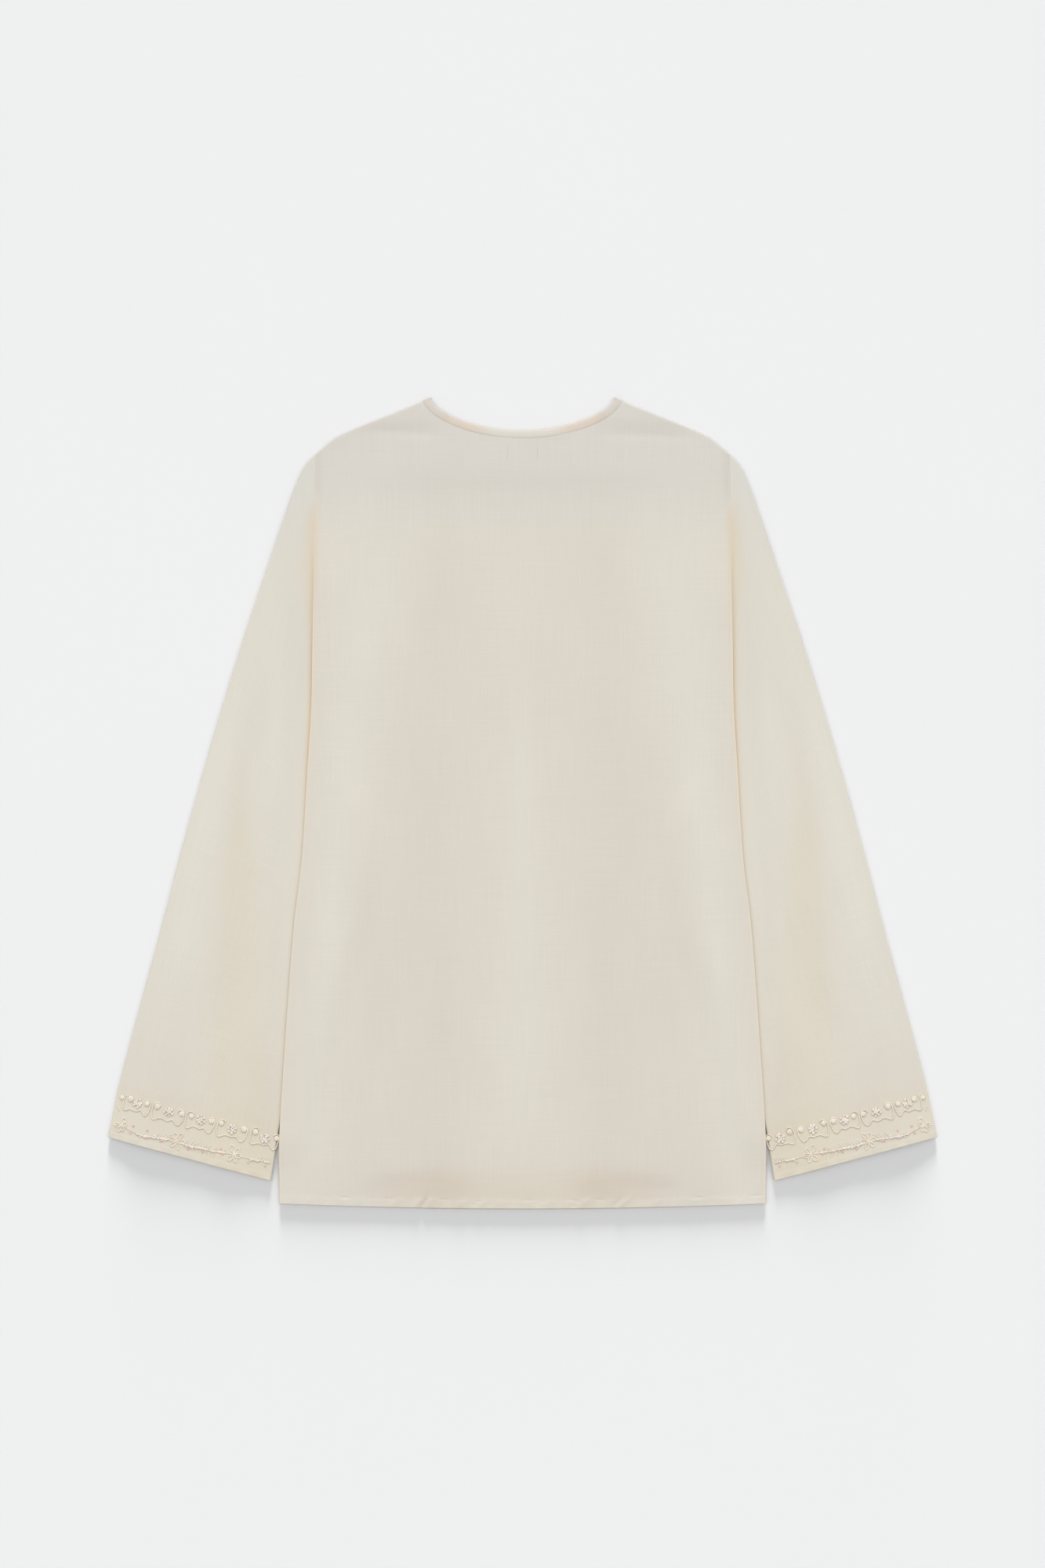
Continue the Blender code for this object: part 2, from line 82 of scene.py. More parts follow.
# The low sun makes the table's shadow, and the high one shows the cloth's relief
low_light = add_sun("low_light_beyond_neck", (0.0, 1.0, 0.080), 10.85, 15)
high_light = add_sun("high_light_beyond_neck", (0.0, 0.95, 0.70), 1.75, 35)
SIDES = ((-1, "left"), (1, "right"))
for side, word in SIDES:
    add_sun(f"soft_light_{word}", (0.75 * side, -0.05, 0.75), 0.615, 50)
world = bpy.data.worlds.new("soft_studio")
world.use_nodes = True
background = world.node_tree.nodes["Background"]
background.inputs["Color"].default_value = (0.988, 0.990, 0.995, 1.0)
background.inputs["Strength"].default_value = 0.50
bpy.context.scene.world = world
print("lamps:", len(bpy.data.lights))


# %% [markdown]
# ## Materials
#
# Cotton is matt, so nearly all of its look is in small changes of colour and height. A plain weave is made
# of two sets of threads that pass over and under each other: the product of two sine waves gives that
# relief. Hand spun thread is uneven, and its thick places show as short streaks, called slubs, along either
# thread. Noise that is stretched along one direction of the cloth gives them. All of it reads the piece's
# own UV map, which is laid out in metres along the grain, so that the pattern turns with the sleeve. A
# colour attribute named tint adds the broad soft changes of tone. It also carries painted shade and
# painted light: shade in the troughs of folds, beside the seams and above the hem, light on the ridges,
# and painted highlights on the hems.

# %% Helpers for materials
def start_material(name, colour, roughness, sheen):
    """A material with a plain Principled shader to build on."""
    material = bpy.data.materials.new(name)
    material.use_nodes = True
    shader = material.node_tree.nodes["Principled BSDF"]
    shader.inputs["Base Color"].default_value = (*colour, 1.0)
    shader.inputs["Roughness"].default_value = roughness
    shader.inputs["Sheen Weight"].default_value = sheen
    shader.inputs["Sheen Roughness"].default_value = 0.5
    shader.inputs["Specular IOR Level"].default_value = 0.25
    return material, shader


def add_node(material, kind, values=(), **settings):
    """Adds a node, sets its properties, and sets or links its inputs by their number."""
    node = material.node_tree.nodes.new(kind)
    for key, value in settings.items():
        setattr(node, key, value)
    for number, value in dict(values).items():
        if isinstance(value, bpy.types.NodeSocket):
            material.node_tree.links.new(value, node.inputs[number])
        else:
            node.inputs[number].default_value = value
    return node


def maths(material, operation, first, second):
    """One sum or product of two numbers, each given as a value or as a socket."""
    return add_node(material, "ShaderNodeMath", {0: first, 1: second}, operation=operation).outputs[0]


def weighted_sum(material, rows):
    """The sum of several sources, each multiplied by its amount."""
    total = 0.0
    for source, amount in rows:
        total = maths(material, "ADD", total, maths(material, "MULTIPLY", source, amount))
    return total


def mixed_colour(material, share, first, second, blend="MIX"):
    """A colour between two others, each given as a value or as a socket."""
    values = {0: share}
    for number, colour in ((6, first), (7, second)):
        values[number] = colour if isinstance(colour, bpy.types.NodeSocket) else (*colour, 1.0)
    return add_node(material, "ShaderNodeMix", values, data_type="RGBA", blend_type=blend).outputs[2]


def finish_surface(material, shader, colour, height, strength):
    """Links a colour, and a height in metres as bump."""
    bump = add_node(material, "ShaderNodeBump", {"Strength": strength, "Distance": 1.0, "Height": height})
    material.node_tree.links.new(colour, shader.inputs["Base Color"])
    material.node_tree.links.new(bump.outputs[0], shader.inputs["Normal"])


def stretched_noise(material, place, size_across, size_along, detail=2.0):
    """Noise whose blotches are size_across wide and size_along long, in metres."""
    scale = (1.0 / size_across, 1.0 / size_along, 1.0)
    mapped = add_node(material, "ShaderNodeMapping", {0: place, 3: scale}).outputs[0]
    values = {"Vector": mapped, "Scale": 1.0, "Detail": detail}
    return add_node(material, "ShaderNodeTexNoise", values, noise_dimensions="2D").outputs[0]


def plain_noise(material, place, scale, detail=2.0):
    """Noise that is alike in all directions."""
    values = {"Vector": place, "Scale": scale, "Detail": detail}
    return add_node(material, "ShaderNodeTexNoise", values).outputs[0]


def between(material, value, low, high):
    """0 below low, 1 above high, and a soft rise between them."""
    values = {0: value, 1: low, 2: high}
    return add_node(material, "ShaderNodeMapRange", values, interpolation_type="SMOOTHSTEP").outputs[0]


# %% Cotton cloth
WEAVE_PERIOD = 0.0009


def make_cotton(name, colour, slub_strength, weave_turn=0.0):
    """Plain weave cotton with slubs. weave_turn turns the grain, as on a binding cut on the bias."""
    material, shader = start_material(name, colour, 0.92, 0.08)
    uv = add_node(material, "ShaderNodeUVMap", uv_map="grain").outputs[0]
    grain = add_node(material, "ShaderNodeMapping", {0: uv, 2: (0.0, 0.0, weave_turn)}).outputs[0]
    split = add_node(material, "ShaderNodeSeparateXYZ", {0: grain})
    wobble = stretched_noise(material, grain, 0.006, 0.006)
    waves = []
    for axis in (0, 1):
        turns = ((split.outputs[axis], math.tau / WEAVE_PERIOD), (wobble, 9.0))
        waves.append(maths(material, "SINE", weighted_sum(material, turns), 0.0))
    weave = maths(material, "MULTIPLY", waves[0], waves[1])
    long_slubs = between(material, stretched_noise(material, grain, 0.0010, 0.016), 0.66, 0.84)
    cross_slubs = between(material, stretched_noise(material, grain, 0.013, 0.0009), 0.68, 0.86)
    flecks = between(material, stretched_noise(material, grain, 0.0016, 0.0022, 1.0), 0.76, 0.88)
    long_threads = stretched_noise(material, grain, 0.0011, 0.060, 3.0)
    cross_threads = stretched_noise(material, grain, 0.050, 0.0011, 3.0)
    clouds = stretched_noise(material, grain, 0.045, 0.070, 3.0)

    # Each source of unevenness moves the shade between the dark and the light colour
    shades = [(weave, 0.06), (long_threads, 0.50), (cross_threads, 0.42), (clouds, 0.22)]
    for source, amount in ((long_slubs, 0.50), (cross_slubs, 0.45), (flecks, -0.45)):
        shades.append((source, amount * slub_strength))
    shade = between(material, weighted_sum(material, shades), 0.12, 1.06)
    dark = [c * k for c, k in zip(colour, (0.965, 0.960, 0.950))]
    light = [c * k for c, k in zip(colour, (1.035, 1.038, 1.042))]
    # The tint attribute multiplies in broad tones, and also painted shade, painted light and painted
    # highlights
    tint = add_node(material, "ShaderNodeVertexColor", layer_name="tint").outputs[0]
    tinted = mixed_colour(material, 1.0, mixed_colour(material, shade, dark, light), tint, "MULTIPLY")
    heights = ((weave, 0.00002), (long_slubs, 0.00005), (cross_slubs, 0.00005), (long_threads, 0.00003))
    finish_surface(material, shader, tinted, weighted_sum(material, heights), 0.8)
    return material


ivory_cotton = make_cotton("ivory_cotton_look", (0.656, 0.616, 0.541), 1.0)
binding_cotton = make_cotton("neck_binding_look", (0.680, 0.640, 0.570), 0.6, math.radians(45))
print("cotton nodes:", len(ivory_cotton.node_tree.nodes))


# %% Embroidery thread
def make_thread(name, colour, deep, roughness, sheen):
    """Stranded thread: fine streaks of a deeper colour, and a soft gloss."""
    material, shader = start_material(name, colour, roughness, sheen)
    shader.inputs["Specular IOR Level"].default_value = 0.5
    place = add_node(material, "ShaderNodeTexCoord").outputs["Object"]
    strands = plain_noise(material, place, 1900.0)
    patches = plain_noise(material, place, 160.0, 1.0)
    both = weighted_sum(material, ((strands, 0.6), (patches, 0.4)))
    mixed = mixed_colour(material, between(material, both, 0.38, 0.62), deep, colour)
    finish_surface(material, shader, mixed, maths(material, "MULTIPLY", strands, 0.00012), 0.7)
    return material


cream_thread = make_thread("cream_thread_look", (0.84, 0.77, 0.66), (0.74, 0.66, 0.54), 0.50, 0.15)
tan_thread = make_thread("tan_thread_look", (0.87, 0.79, 0.67), (0.75, 0.66, 0.53), 0.50, 0.15)
white_thread = make_thread("knot_thread_look", (0.87, 0.80, 0.71), (0.71, 0.63, 0.55), 0.42, 0.15)
coral_thread = make_thread("coral_thread_look", (0.86, 0.56, 0.52), (0.76, 0.42, 0.38), 0.50, 0.10)
sewing_thread = make_thread("sewing_thread_look", (0.66, 0.62, 0.54), (0.58, 0.54, 0.46), 0.70, 0.05)
print("materials so far:", len(bpy.data.materials))

# %% Lay out the table top
TABLE_SIZE = 6.0
bpy.ops.object.select_all(action="DESELECT")
bpy.ops.mesh.primitive_plane_add(size=TABLE_SIZE, location=(0.0, 0.0, -0.0004))
table_top = bpy.context.object
table_top.name = "table_top"
bpy.ops.object.transform_apply(location=True, rotation=True, scale=True)
pale_table, table_shader = start_material("pale_table", (0.80, 0.80, 0.80), 0.95, 0.0)
table_grain = add_node(pale_table, "ShaderNodeTexCoord").outputs["Object"]
table_clouds = plain_noise(pale_table, table_grain, 2.5)
table_colour = mixed_colour(pale_table, table_clouds, (0.815, 0.817, 0.820), (0.825, 0.826, 0.828))
pale_table.node_tree.links.new(table_colour, table_shader.inputs["Base Color"])
table_top.data.materials.append(pale_table)

# Light linking keeps the high sun off the table, and the low sun on it alone
for lamp, state in ((low_light, "INCLUDE"), (high_light, "EXCLUDE")):
    group = bpy.data.collections.new(lamp.name + "_" + state.lower())
    group.objects.link(table_top)
    group.collection_objects[0].light_linking.link_state = state
    lamp.light_linking.receiver_collection = group
print("table side in metres:", TABLE_SIZE)

# %% [markdown]
# ## The shape of the garment
#
# The cloth pieces lie on the solids of the CAD part, so the same named sizes and short tables are written
# down here again. X runs across the garment, +Y runs up to the neck and Z rises from the table. A table row
# is a point of the outline, and a smooth curve is drawn through the rows. Sizes are in metres, and the rows
# of every table are written in millimetres, which are easier to read.

# %% Sizes and outlines
CLOTH = 0.0010
SEAM = 0.0003
HEM_HEIGHT = 0.0076
CUFF_HEM_HEIGHT = 0.0056
HEM_RAISE = 0.0003
NECK_BINDING_WIDTH = 0.0068
NECK_PEAK = Vector((0.0839, 0.3715))
NECK_BACK_DIP = 0.0303
NECK_FRONT_DIP = 0.150
NECK_ROUNDNESS = 0.625
SHOULDER_X = 0.190
UNDERARM_Y = 0.105
HEM_CENTRE_Y = -0.3733
HEM_CORNER_RISE = 0.0046
FRONT_HEM_SHOWS = 0.0006
NECK_EDGE_X = NECK_PEAK.x + NECK_BINDING_WIDTH + SEAM


def in_metres(rows, kept=0):
    """Rows in metres from rows in millimetres. kept says how many of the last columns aren't lengths."""
    return [tuple(v if k >= len(row) - kept else v / 1000 for k, v in enumerate(row)) for row in rows]


# Rows of x, y along the shoulder
SHOULDER_LINE = in_metres([(83.9, 371.5), (98.3, 365.2), (168.8, 336.2), (180, 327.8), (190, 319)])

# Rows of y, x down the side of the body
BODY_EDGE = in_metres([
    (-370, 223), (-315, 223.5), (-228, 218.5), (-113, 210), (-55, 203), (25, 197.8), (105, 193.5),
    (319, 190),
])

# Rows of outer x, outer y, inner x, inner y, from the armhole down to the cuff
SLEEVE_LINES = in_metres([
    (190.3, 319, 191.5, 104), (197.5, 312, 191.9, 95.5), (206, 297, 191.7, 85), (218.5, 263, 190.8, 68),
    (234.5, 215, 187.8, 44), (253, 160, 180.4, 16), (272.5, 98, 164, -18), (292.5, 30, 160.5, -60),
    (312, -40, 170, -110), (331, -113, 187, -160), (350, -183, 205, -224), (369, -254, 222, -293),
    (380.5, -307.8, 231.2, -347.8),
])
OUTER_FOLD = [(row[1], row[0]) for row in reversed(SLEEVE_LINES)]
INNER_FOLD = [(row[3], row[2]) for row in reversed(SLEEVE_LINES)]
SLEEVE_LAST = len(SLEEVE_LINES) - 1
print("rows of the sleeve table:", len(SLEEVE_LINES))


# %% Curves through the tables
def smooth_step(start, end, at):
    """0 before start and 1 after end, with a soft rise between them. It also runs downwards."""
    share = min(max((at - start) / (end - start), 0.0), 1.0)
    return share * share * (3.0 - 2.0 * share)


def bell(distance, width):
    """1 at no distance, fading softly to both sides."""
    return math.exp(-((distance / width) ** 2))


def unevenness(across, along, seed):
    """Smooth noise round zero, the same each time for the same place and seed."""
    return noise.noise(Vector((across, along, seed)))


def read_curve(rows, at):
    """The smooth curve through rows of (place, value), with straight ends."""
    last = len(rows) - 1
    i = max(k for k in range(last) if k == 0 or rows[k][0] <= at)
    slopes = []
    for k in (i, i + 1):
        before, after = rows[max(k - 1, 0)], rows[min(k + 1, last)]
        slopes.append((after[1] - before[1]) / (after[0] - before[0]))
    (x0, y0), (x1, y1) = rows[i], rows[i + 1]
    if at <= x0:
        return y0 + (at - x0) * slopes[0]
    if at >= x1:
        return y1 + (at - x1) * slopes[1]
    step = x1 - x0
    t = (at - x0) / step
    return (
        (2 * t**3 - 3 * t**2 + 1) * y0
        + (t**3 - 2 * t**2 + t) * step * slopes[0]
        + (3 * t**2 - 2 * t**3) * y1
        + (t**3 - t**2) * step * slopes[1]
    )


def body_edge(y):
    """Half the width of the body at a height, straight along the armhole."""
    if y >= UNDERARM_Y:
        (low_y, low_x), (high_y, high_x) = BODY_EDGE[-2:]
        return low_x + min((y - low_y) / (high_y - low_y), 1.0) * (high_x - low_x)
    return read_curve(BODY_EDGE, y)


def shoulder_y(x):
    """The height of the shoulder line, the same on both sides."""
    return read_curve(SHOULDER_LINE, abs(x))


def neck_y(x, dip):
    """The height of a panel's neck edge, which lies one binding's width below the neckline."""
    peak = shoulder_y(NECK_EDGE_X)
    low = NECK_PEAK.y - dip - NECK_BINDING_WIDTH - SEAM
    return peak - (peak - low) * max(1.0 - (x / NECK_EDGE_X) ** 2, 0.0) ** NECK_ROUNDNESS


print("body width at the hem:", round(2 * body_edge(HEM_CENTRE_Y), 4))


# %% [markdown]
# ## How the cloth lies
#
# A laid garment is never quite flat. The sides of the body ride up over the sleeves that are tucked under
# them, a few long soft folds run down the back, and everywhere the cloth ripples a little. Each fold is
# listed as a soft ridge or trough: a row of a table gives its two ends, its width at each end, and its
# height. A low light shows these gentle slopes much better than their small heights suggest.

# %% The lift over the tucked sleeves
TUCK_LIFT = 0.0029


def tuck_lift(x, y):
    """How far the body stands off the table over the tucked sides of the sleeves."""
    reach = read_curve(INNER_FOLD, min(y, UNDERARM_Y))
    across = smooth_step(reach - 0.042, reach - 0.010, abs(x))
    return TUCK_LIFT * across * smooth_step(0.290, 0.175, y) * smooth_step(-0.346, -0.305, y)


# %% The long folds of the back
# Rows of top x, top y, low x, low y, top width, low width, height
BACK_FOLDS = in_metres([
    (-158, 255, -172, -345, 15, 22, 1.7), (155, 240, 163, -350, 14, 20, 1.5),
    (-3, 60, 1, -365, 12, 34, 1.4), (-46, 305, -100, -80, 22, 16, 0.7), (52, 300, 108, -20, 20, 15, 0.6),
])

# The same for the creases that are too slight for the CAD part: near the shoulders, above the hem and at
# the armholes
BACK_CREASES = in_metres([
    (-79, 337.5, -141, 341.5, 3.2, 2.4, -0.5), (77, 338.5, 149, 335, 3.2, 2.4, -0.5),
    (-120, 300, -170, 190, 10, 16, 0.4), (125, 300, 172, 200, 10, 15, 0.4),
    (-60, 150, -75, -300, 14, 12, 0.4), (70, 120, 82, -310, 13, 11, 0.4),
    (-122, -150, -136, -362, 9, 7, -0.5), (118, -160, 130, -362, 9, 7, -0.5),
    (-135, -352, -75, -347, 6, 4, -0.5), (80, -350, 140, -354, 6, 4, -0.5),
    (-188, 230, -160, 120, 7, 12, 0.4), (188, 225, 160, 110, 7, 12, 0.4),
])


def crease_height(rows, x, y):
    """The rise of a table of folds at a point. Each fades from its own line to its sides and its ends."""
    total = 0.0
    for top_x, top_y, low_x, low_y, top_width, low_width, height in rows:
        run_x, run_y = low_x - top_x, low_y - top_y
        length = math.hypot(run_x, run_y)
        share = ((x - top_x) * run_x + (y - top_y) * run_y) / length**2
        aside = ((x - top_x) * run_y - (y - top_y) * run_x) / length
        width = top_width + (low_width - top_width) * min(max(share, 0.0), 1.0)
        if abs(aside) > 4 * width or not -0.3 < share < 1.3:
            continue
        fade = min(0.25, 0.07 / length)
        ends = smooth_step(-fade, fade, share) * smooth_step(1.0 + fade, 1.0 - fade, share)
        total += height * ends * math.exp(-((aside / width) ** 2) / 2)
    return total


def ripple(x, y, seed, across=0.030, along=0.085):
    """The slight waviness of laid cloth, in metres."""
    broad = unevenness(x / across, y / along, seed)
    fine = unevenness(x / (0.35 * across), y / (0.30 * along), seed + 7.0)
    return 0.00034 * broad + 0.00008 * fine


print("creases placed by hand on the back:", len(BACK_CREASES) + len(BACK_FOLDS))


# %% Turned edges and hems
EDGE_ROUND = 0.0016
EDGE_DROP = 0.0010
TOP_FACE = 2 * CLOTH + SEAM


def edge_drop(inside, reach=EDGE_ROUND, depth=EDGE_DROP):
    """How far a surface has curled over at a distance inside a seam or a fold."""
    if inside >= reach:
        return 0.0
    return depth * (1.0 - math.sqrt(max(1.0 - (1.0 - max(inside, 0.0) / reach) ** 2, 0.0)))


# Rows of x, half length, width, height, lean: the small slanting puckers of the stitched hem
HEM_PUCKERS = in_metres([
    (-196, 2.2, 1.8, 0.24, 0.8), (-163, 2.6, 1.6, 0.34, 0.9), (-150, 2.2, 1.8, 0.26, 0.8),
    (-116, 2.6, 2, 0.36, 0.7), (-96.5, 3.4, 2.2, 0.5, 0.6), (-90.5, 5, 1.2, -1, 0.5),
    (-85.5, 4, 2, 0.4, 0.5), (-56, 3, 3, 0.48, 0.9), (-43, 3, 1.2, -0.45, 1.0),
    (-37, 2.8, 2.2, 0.44, 1.1), (-20, 2.6, 1.6, 0.38, 1.0), (-8, 2.4, 1.8, 0.26, 0.7),
    (8, 2.6, 1.6, 0.3, 0.8), (22, 2.4, 1.8, 0.34, 1.0), (42, 3, 1.8, 0.44, 0.9),
    (49, 3.4, 1.1, -0.5, 0.8), (56, 3.4, 2.4, 0.55, 1.1), (86, 4, 1.3, -0.7, 0.7),
    (93, 3.4, 2.2, 0.5, 1.0), (123, 2.6, 1.8, 0.3, 0.8), (158, 2.6, 1.7, 0.32, 0.9),
    (190, 2.2, 1.8, 0.24, 0.8),
], kept=1)
PUCKER_SCALE = 1.7
PUCKER_REACH = 0.008
PUCKER_TOP = 0.018
PUCKER_MIDDLE = 0.0044
HEM_STITCH_LINE = HEM_HEIGHT + 0.0002
HEM_STITCH_SINK = 0.00055


def side_drop(y):
    """The depth of the curled side. The armhole seam is shallower than the open edge below it."""
    return EDGE_DROP * (1.0 - 0.45 * smooth_step(0.095, 0.125, y) * smooth_step(0.318, 0.300, y))


def hem_line(across, drop):
    """The y of the hem at a share of the body's half width."""
    return HEM_CENTRE_Y + HEM_CORNER_RISE * across**2 - drop * (1.0 - across**2)


def hem_pull(x):
    """How tightly the hem's stitches pull. It changes along the hem, and most of them sink out of sight."""
    return min(max(0.15 + 1.7 * unevenness(x / 0.013, 0.0, 3.0), 0.0), 1.0)


def hem_relief(x, above):
    """The turned hem band: a little higher than the panel, sunk along its stitches, and puckered."""
    band = smooth_step(HEM_HEIGHT + 0.0024, HEM_HEIGHT - 0.0016, above)
    stitched = bell(above - HEM_STITCH_LINE, 0.0010)
    relief = HEM_RAISE * band - HEM_STITCH_SINK * stitched * hem_pull(x)
    for at, half, width, height, lean in HEM_PUCKERS:
        up = above - PUCKER_MIDDLE
        aside = x - at - lean * up
        if abs(aside) < PUCKER_REACH and above < PUCKER_TOP:
            relief += PUCKER_SCALE * height * bell(aside, width) * math.exp(-((up / half) ** 2) / 2)
    return relief


print("hem puckers:", len(HEM_PUCKERS))


# %% [markdown]
# ## Making a cloth sheet
#
# Thin cloth is easiest to make in mesh code, as a grid of points. The grid is the outer face of the cloth.
# Solidify then gives it a real thickness on its inner side. One helper does this for every panel: it takes
# the rows of points and, for each, the place on the flat cloth, which becomes the UV map, and a tint.

# %% The sheet helper
# Heights far under and far over all the cloth, for sheets that look up or down
BELOW = -1.0
ABOVE = 1.0


def new_piece(name, data):
    """Puts a mesh or a curve into the scene and selects it alone."""
    piece = bpy.data.objects.new(name, data)
    bpy.context.scene.collection.objects.link(piece)
    bpy.ops.object.select_all(action="DESELECT")
    bpy.context.view_layer.objects.active = piece
    piece.select_set(True)
    return piece


def make_sheet(name, rows, places, tints, wall, material, inside_z=BELOW, closed=False):
    """A cloth sheet from a grid of points. Its inner side looks to the height inside_z, and closed joins
    its first and last columns."""
    count = len(rows[0])
    points = [point for row in rows for point in row]
    faces, corners = [], []
    for i in range(len(rows) - 1):
        for j in range(count if closed else count - 1):
            near, far = i * count, (i + 1) * count
            k = (j + 1) % count
            faces.append((near + j, far + j, far + k, near + k))
            corners.append(((i, j), (i + 1, j), (i + 1, j + 1), (i, j + 1)))
    mesh = bpy.data.meshes.new(name)
    mesh.from_pydata(points, [], faces)
    uv_map = mesh.uv_layers.new(name="grain")
    for polygon, corner in zip(mesh.polygons, corners):
        for loop, (i, j) in zip(polygon.loop_indices, corner):
            uv_map.uv[loop].vector = places[i][j]
    colours = mesh.color_attributes.new("tint", "FLOAT_COLOR", "POINT")
    flat_tints = [tint for row in tints for tint in row]
    for item, tint in zip(colours.data, flat_tints):
        item.color = (*tint, 1.0)
    bm = bmesh.new()
    bm.from_mesh(mesh)
    bmesh.ops.recalc_face_normals(bm, faces=bm.faces)
    bm.normal_update()
    outward = 0.0
    for face in bm.faces:
        outward += (face.calc_center_median().z - inside_z) * face.normal.z * face.calc_area()
    if outward < 0:
        bmesh.ops.reverse_faces(bm, faces=bm.faces)
    area = sum(face.calc_area() for face in bm.faces)
    bm.to_mesh(mesh)
    bm.free()
    mesh.materials.append(material)
    mesh.shade_smooth()
    piece = new_piece(name, mesh)
    wall_maker = piece.modifiers.new("wall", "SOLIDIFY")
    wall_maker.thickness = wall
    wall_maker.offset = -1.0
    bpy.ops.object.modifier_apply(modifier=wall_maker.name)
    piece["outer_area"] = area
    print(name, "faces:", len(mesh.polygons), "area:", round(area, 4))
    return piece


# %% Soft changes of tint, with painted shade and painted light
def mixed_tint(zones):
    """Several tints over each other. A zone is a colour factor and how strongly it shows."""
    tint = [1.0, 1.0, 1.0]
    for factor, share in zones:
        tint = [t * (1.0 + (f - 1.0) * share) for t, f in zip(tint, factor)]
    return tint


# Colour factors that the tint multiplies in. SHADED is painted shade along the armholes and the body's
# sides, LIT is painted light on their curled edge, and DIM darkens where its share is above zero and
# lightens where it is below, mostly as painted shade and painted light. COOL, WARM and FLANK make the cloth
# greyer or warmer.
COOL = (0.965, 0.985, 1.020)
FLANK = (0.985, 0.895, 0.850)
WARM = (0.990, 0.965, 0.905)
SHADED = (0.995, 0.920, 0.820)
DIM = (0.950, 0.930, 0.925)
LIT = (1.200, 1.150, 1.150)
LIT_REACH = 0.0013

# Painted shade and painted light: zones drawn a little dimmer as painted shade in the troughs of the
# back's folds, along the shoulders and above the hem, or lighter as painted light on the ridges where the
# last number, their share, is less than zero, in the rows of a crease table. They are the same on both
# sides of the body.
BODY_PAINTED_SHADING = in_metres([
    (135, 262, 182, -150, 25, 9, -0.65), (176, -120, 197, -372, 12, 14, -0.35),
    (0, 75, 0, -290, 7, 21, -0.50), (0, 240, 0, 150, 24, 22, -0.15), (72, 255, 81, 70, 13, 18, 0.30),
    (85, 70, 102, -400, 24, 42, 0.45), (74, -130, 74, -390, 8, 14, 0.25),
    (132, -120, 142, -230, 8, 8, 0.18), (46, -354, 140, -354, 10, 10, 0.80),
    (-200, -352, 200, -352, 14, 14, 0.35), (-135, 294, 135, 294, 9, 9, 0.40),
    (80, 348, 150, 343, 5, 4, 0.70), (189, 330, 189, 280, 3, 3, 0.90),
], kept=1)

# Painted shade and painted light along a sleeve's folds in the same way, and the warmer zone of its lower
# half
SLEEVE_PAINTED_SHADING = in_metres([
    (224, 160, 238, -230, 6, 8, -0.30), (252, 90, 285, -230, 7, 12, 0.30),
    (262, 90, 330, -200, 10, 14, -0.40), (330, -80, 362, -290, 10, 16, 0.25),
    (318, -140, 328, -330, 14, 20, 0.35), (228, -40, 238, -350, 8, 13, 0.60),
], kept=1)
SLEEVE_WARMS = in_metres([(258, 0, 262, -420, 8, 30, 0.8)], kept=1)
# Painted light: each whole sleeve is drawn a little lighter than the body of the same cloth
SLEEVE_PAINTED_LIGHT = 0.45


def seam_shade(x, y):
    """How strongly the shaded line of the armhole and of the body's side shows, on both of its sides."""
    aside = abs(x) - body_edge(y)
    upper = smooth_step(0.140, 0.220, y)
    reach = 0.0036 + 0.0044 * upper if aside > 0 else 0.0022 + 0.0010 * upper
    down = smooth_step(0.290, 0.250, y) * (1.0 - 0.65 * smooth_step(0.070, -0.060, y))
    return bell(aside, reach) * down


def seam_light(x, y):
    """How strongly the narrow curled edge of the body is lifted out of its own shade."""
    share = 0.35 + 0.65 * smooth_step(0.220, 0.150, y) - 0.45 * smooth_step(0.040, -0.090, y)
    return share * bell(abs(x) - body_edge(y), LIT_REACH)


def body_tint(x, y):
    """The upper back is a little cooler and greyer than the rest, and the middle of the hem warmer."""
    warm = 0.6 * smooth_step(-0.325, -0.360, y) * smooth_step(0.150, 0.060, abs(x))
    above = y - hem_line(x / body_edge(y), 0.0)
    # Painted highlights in patches on the hem band
    patches = max(0.25 + 1.3 * unevenness((x - 0.7 * y) / 0.010, y / 0.030, 5.0), 0.0)
    in_hem = smooth_step(HEM_HEIGHT, 0.7 * HEM_HEIGHT, above)
    # Painted shade and painted light along the folds, less the hem band's painted highlights
    dim = crease_height(BODY_PAINTED_SHADING, abs(x), y) - 0.8 * patches * in_hem
    zones = [(COOL, smooth_step(0.235, 0.300, y)), (WARM, warm), (DIM, dim)]
    return mixed_tint(zones + [(SHADED, seam_shade(x, y)), (LIT, seam_light(x, y))])


def sleeve_tint(x, y, above_cuff):
    """A sleeve warms down its inner half, beside the body and at the cuff, whose hem is the lightest, with
    painted highlights in patches. Painted shade and painted light also follow its folds.
    """
    warm = crease_height(SLEEVE_WARMS, abs(x), y) + 0.60 * smooth_step(0.068, 0.035, above_cuff)
    zones = [(COOL, smooth_step(0.200, 0.300, y)), (WARM, min(warm, 1.3)), (SHADED, seam_shade(x, y))]
    embroidered = smooth_step(0.045, 0.028, above_cuff)
    # Painted shade and painted light along the sleeve's folds, and painted light over the whole sleeve
    dim = crease_height(SLEEVE_PAINTED_SHADING, abs(x), y) - SLEEVE_PAINTED_LIGHT
    dim += 0.25 * smooth_step(0.105, 0.065, above_cuff) * (1.0 - embroidered)
    dim += 0.55 * smooth_step(0.012, 0.006, above_cuff) - 0.15 * embroidered
    # Painted highlights in patches on the cuff's hem
    patches = max(0.4 + 1.4 * unevenness(x / 0.010, y / 0.010, 9.0), 0.0)
    zones.append((DIM, dim - patches * smooth_step(0.0060, 0.0030, above_cuff)))
    return mixed_tint(zones)


# %% [markdown]
# ## The back and the front
#
# Both panels are the same cut, but the front has a deeper neck. Columns of points run down from the top
# edge to the hem. They lie closest at the neck's steep sides and beside the seams, where the surface curls
# over to meet the other panel, and rows lie closest at the shoulder and the hem, for their small creases.

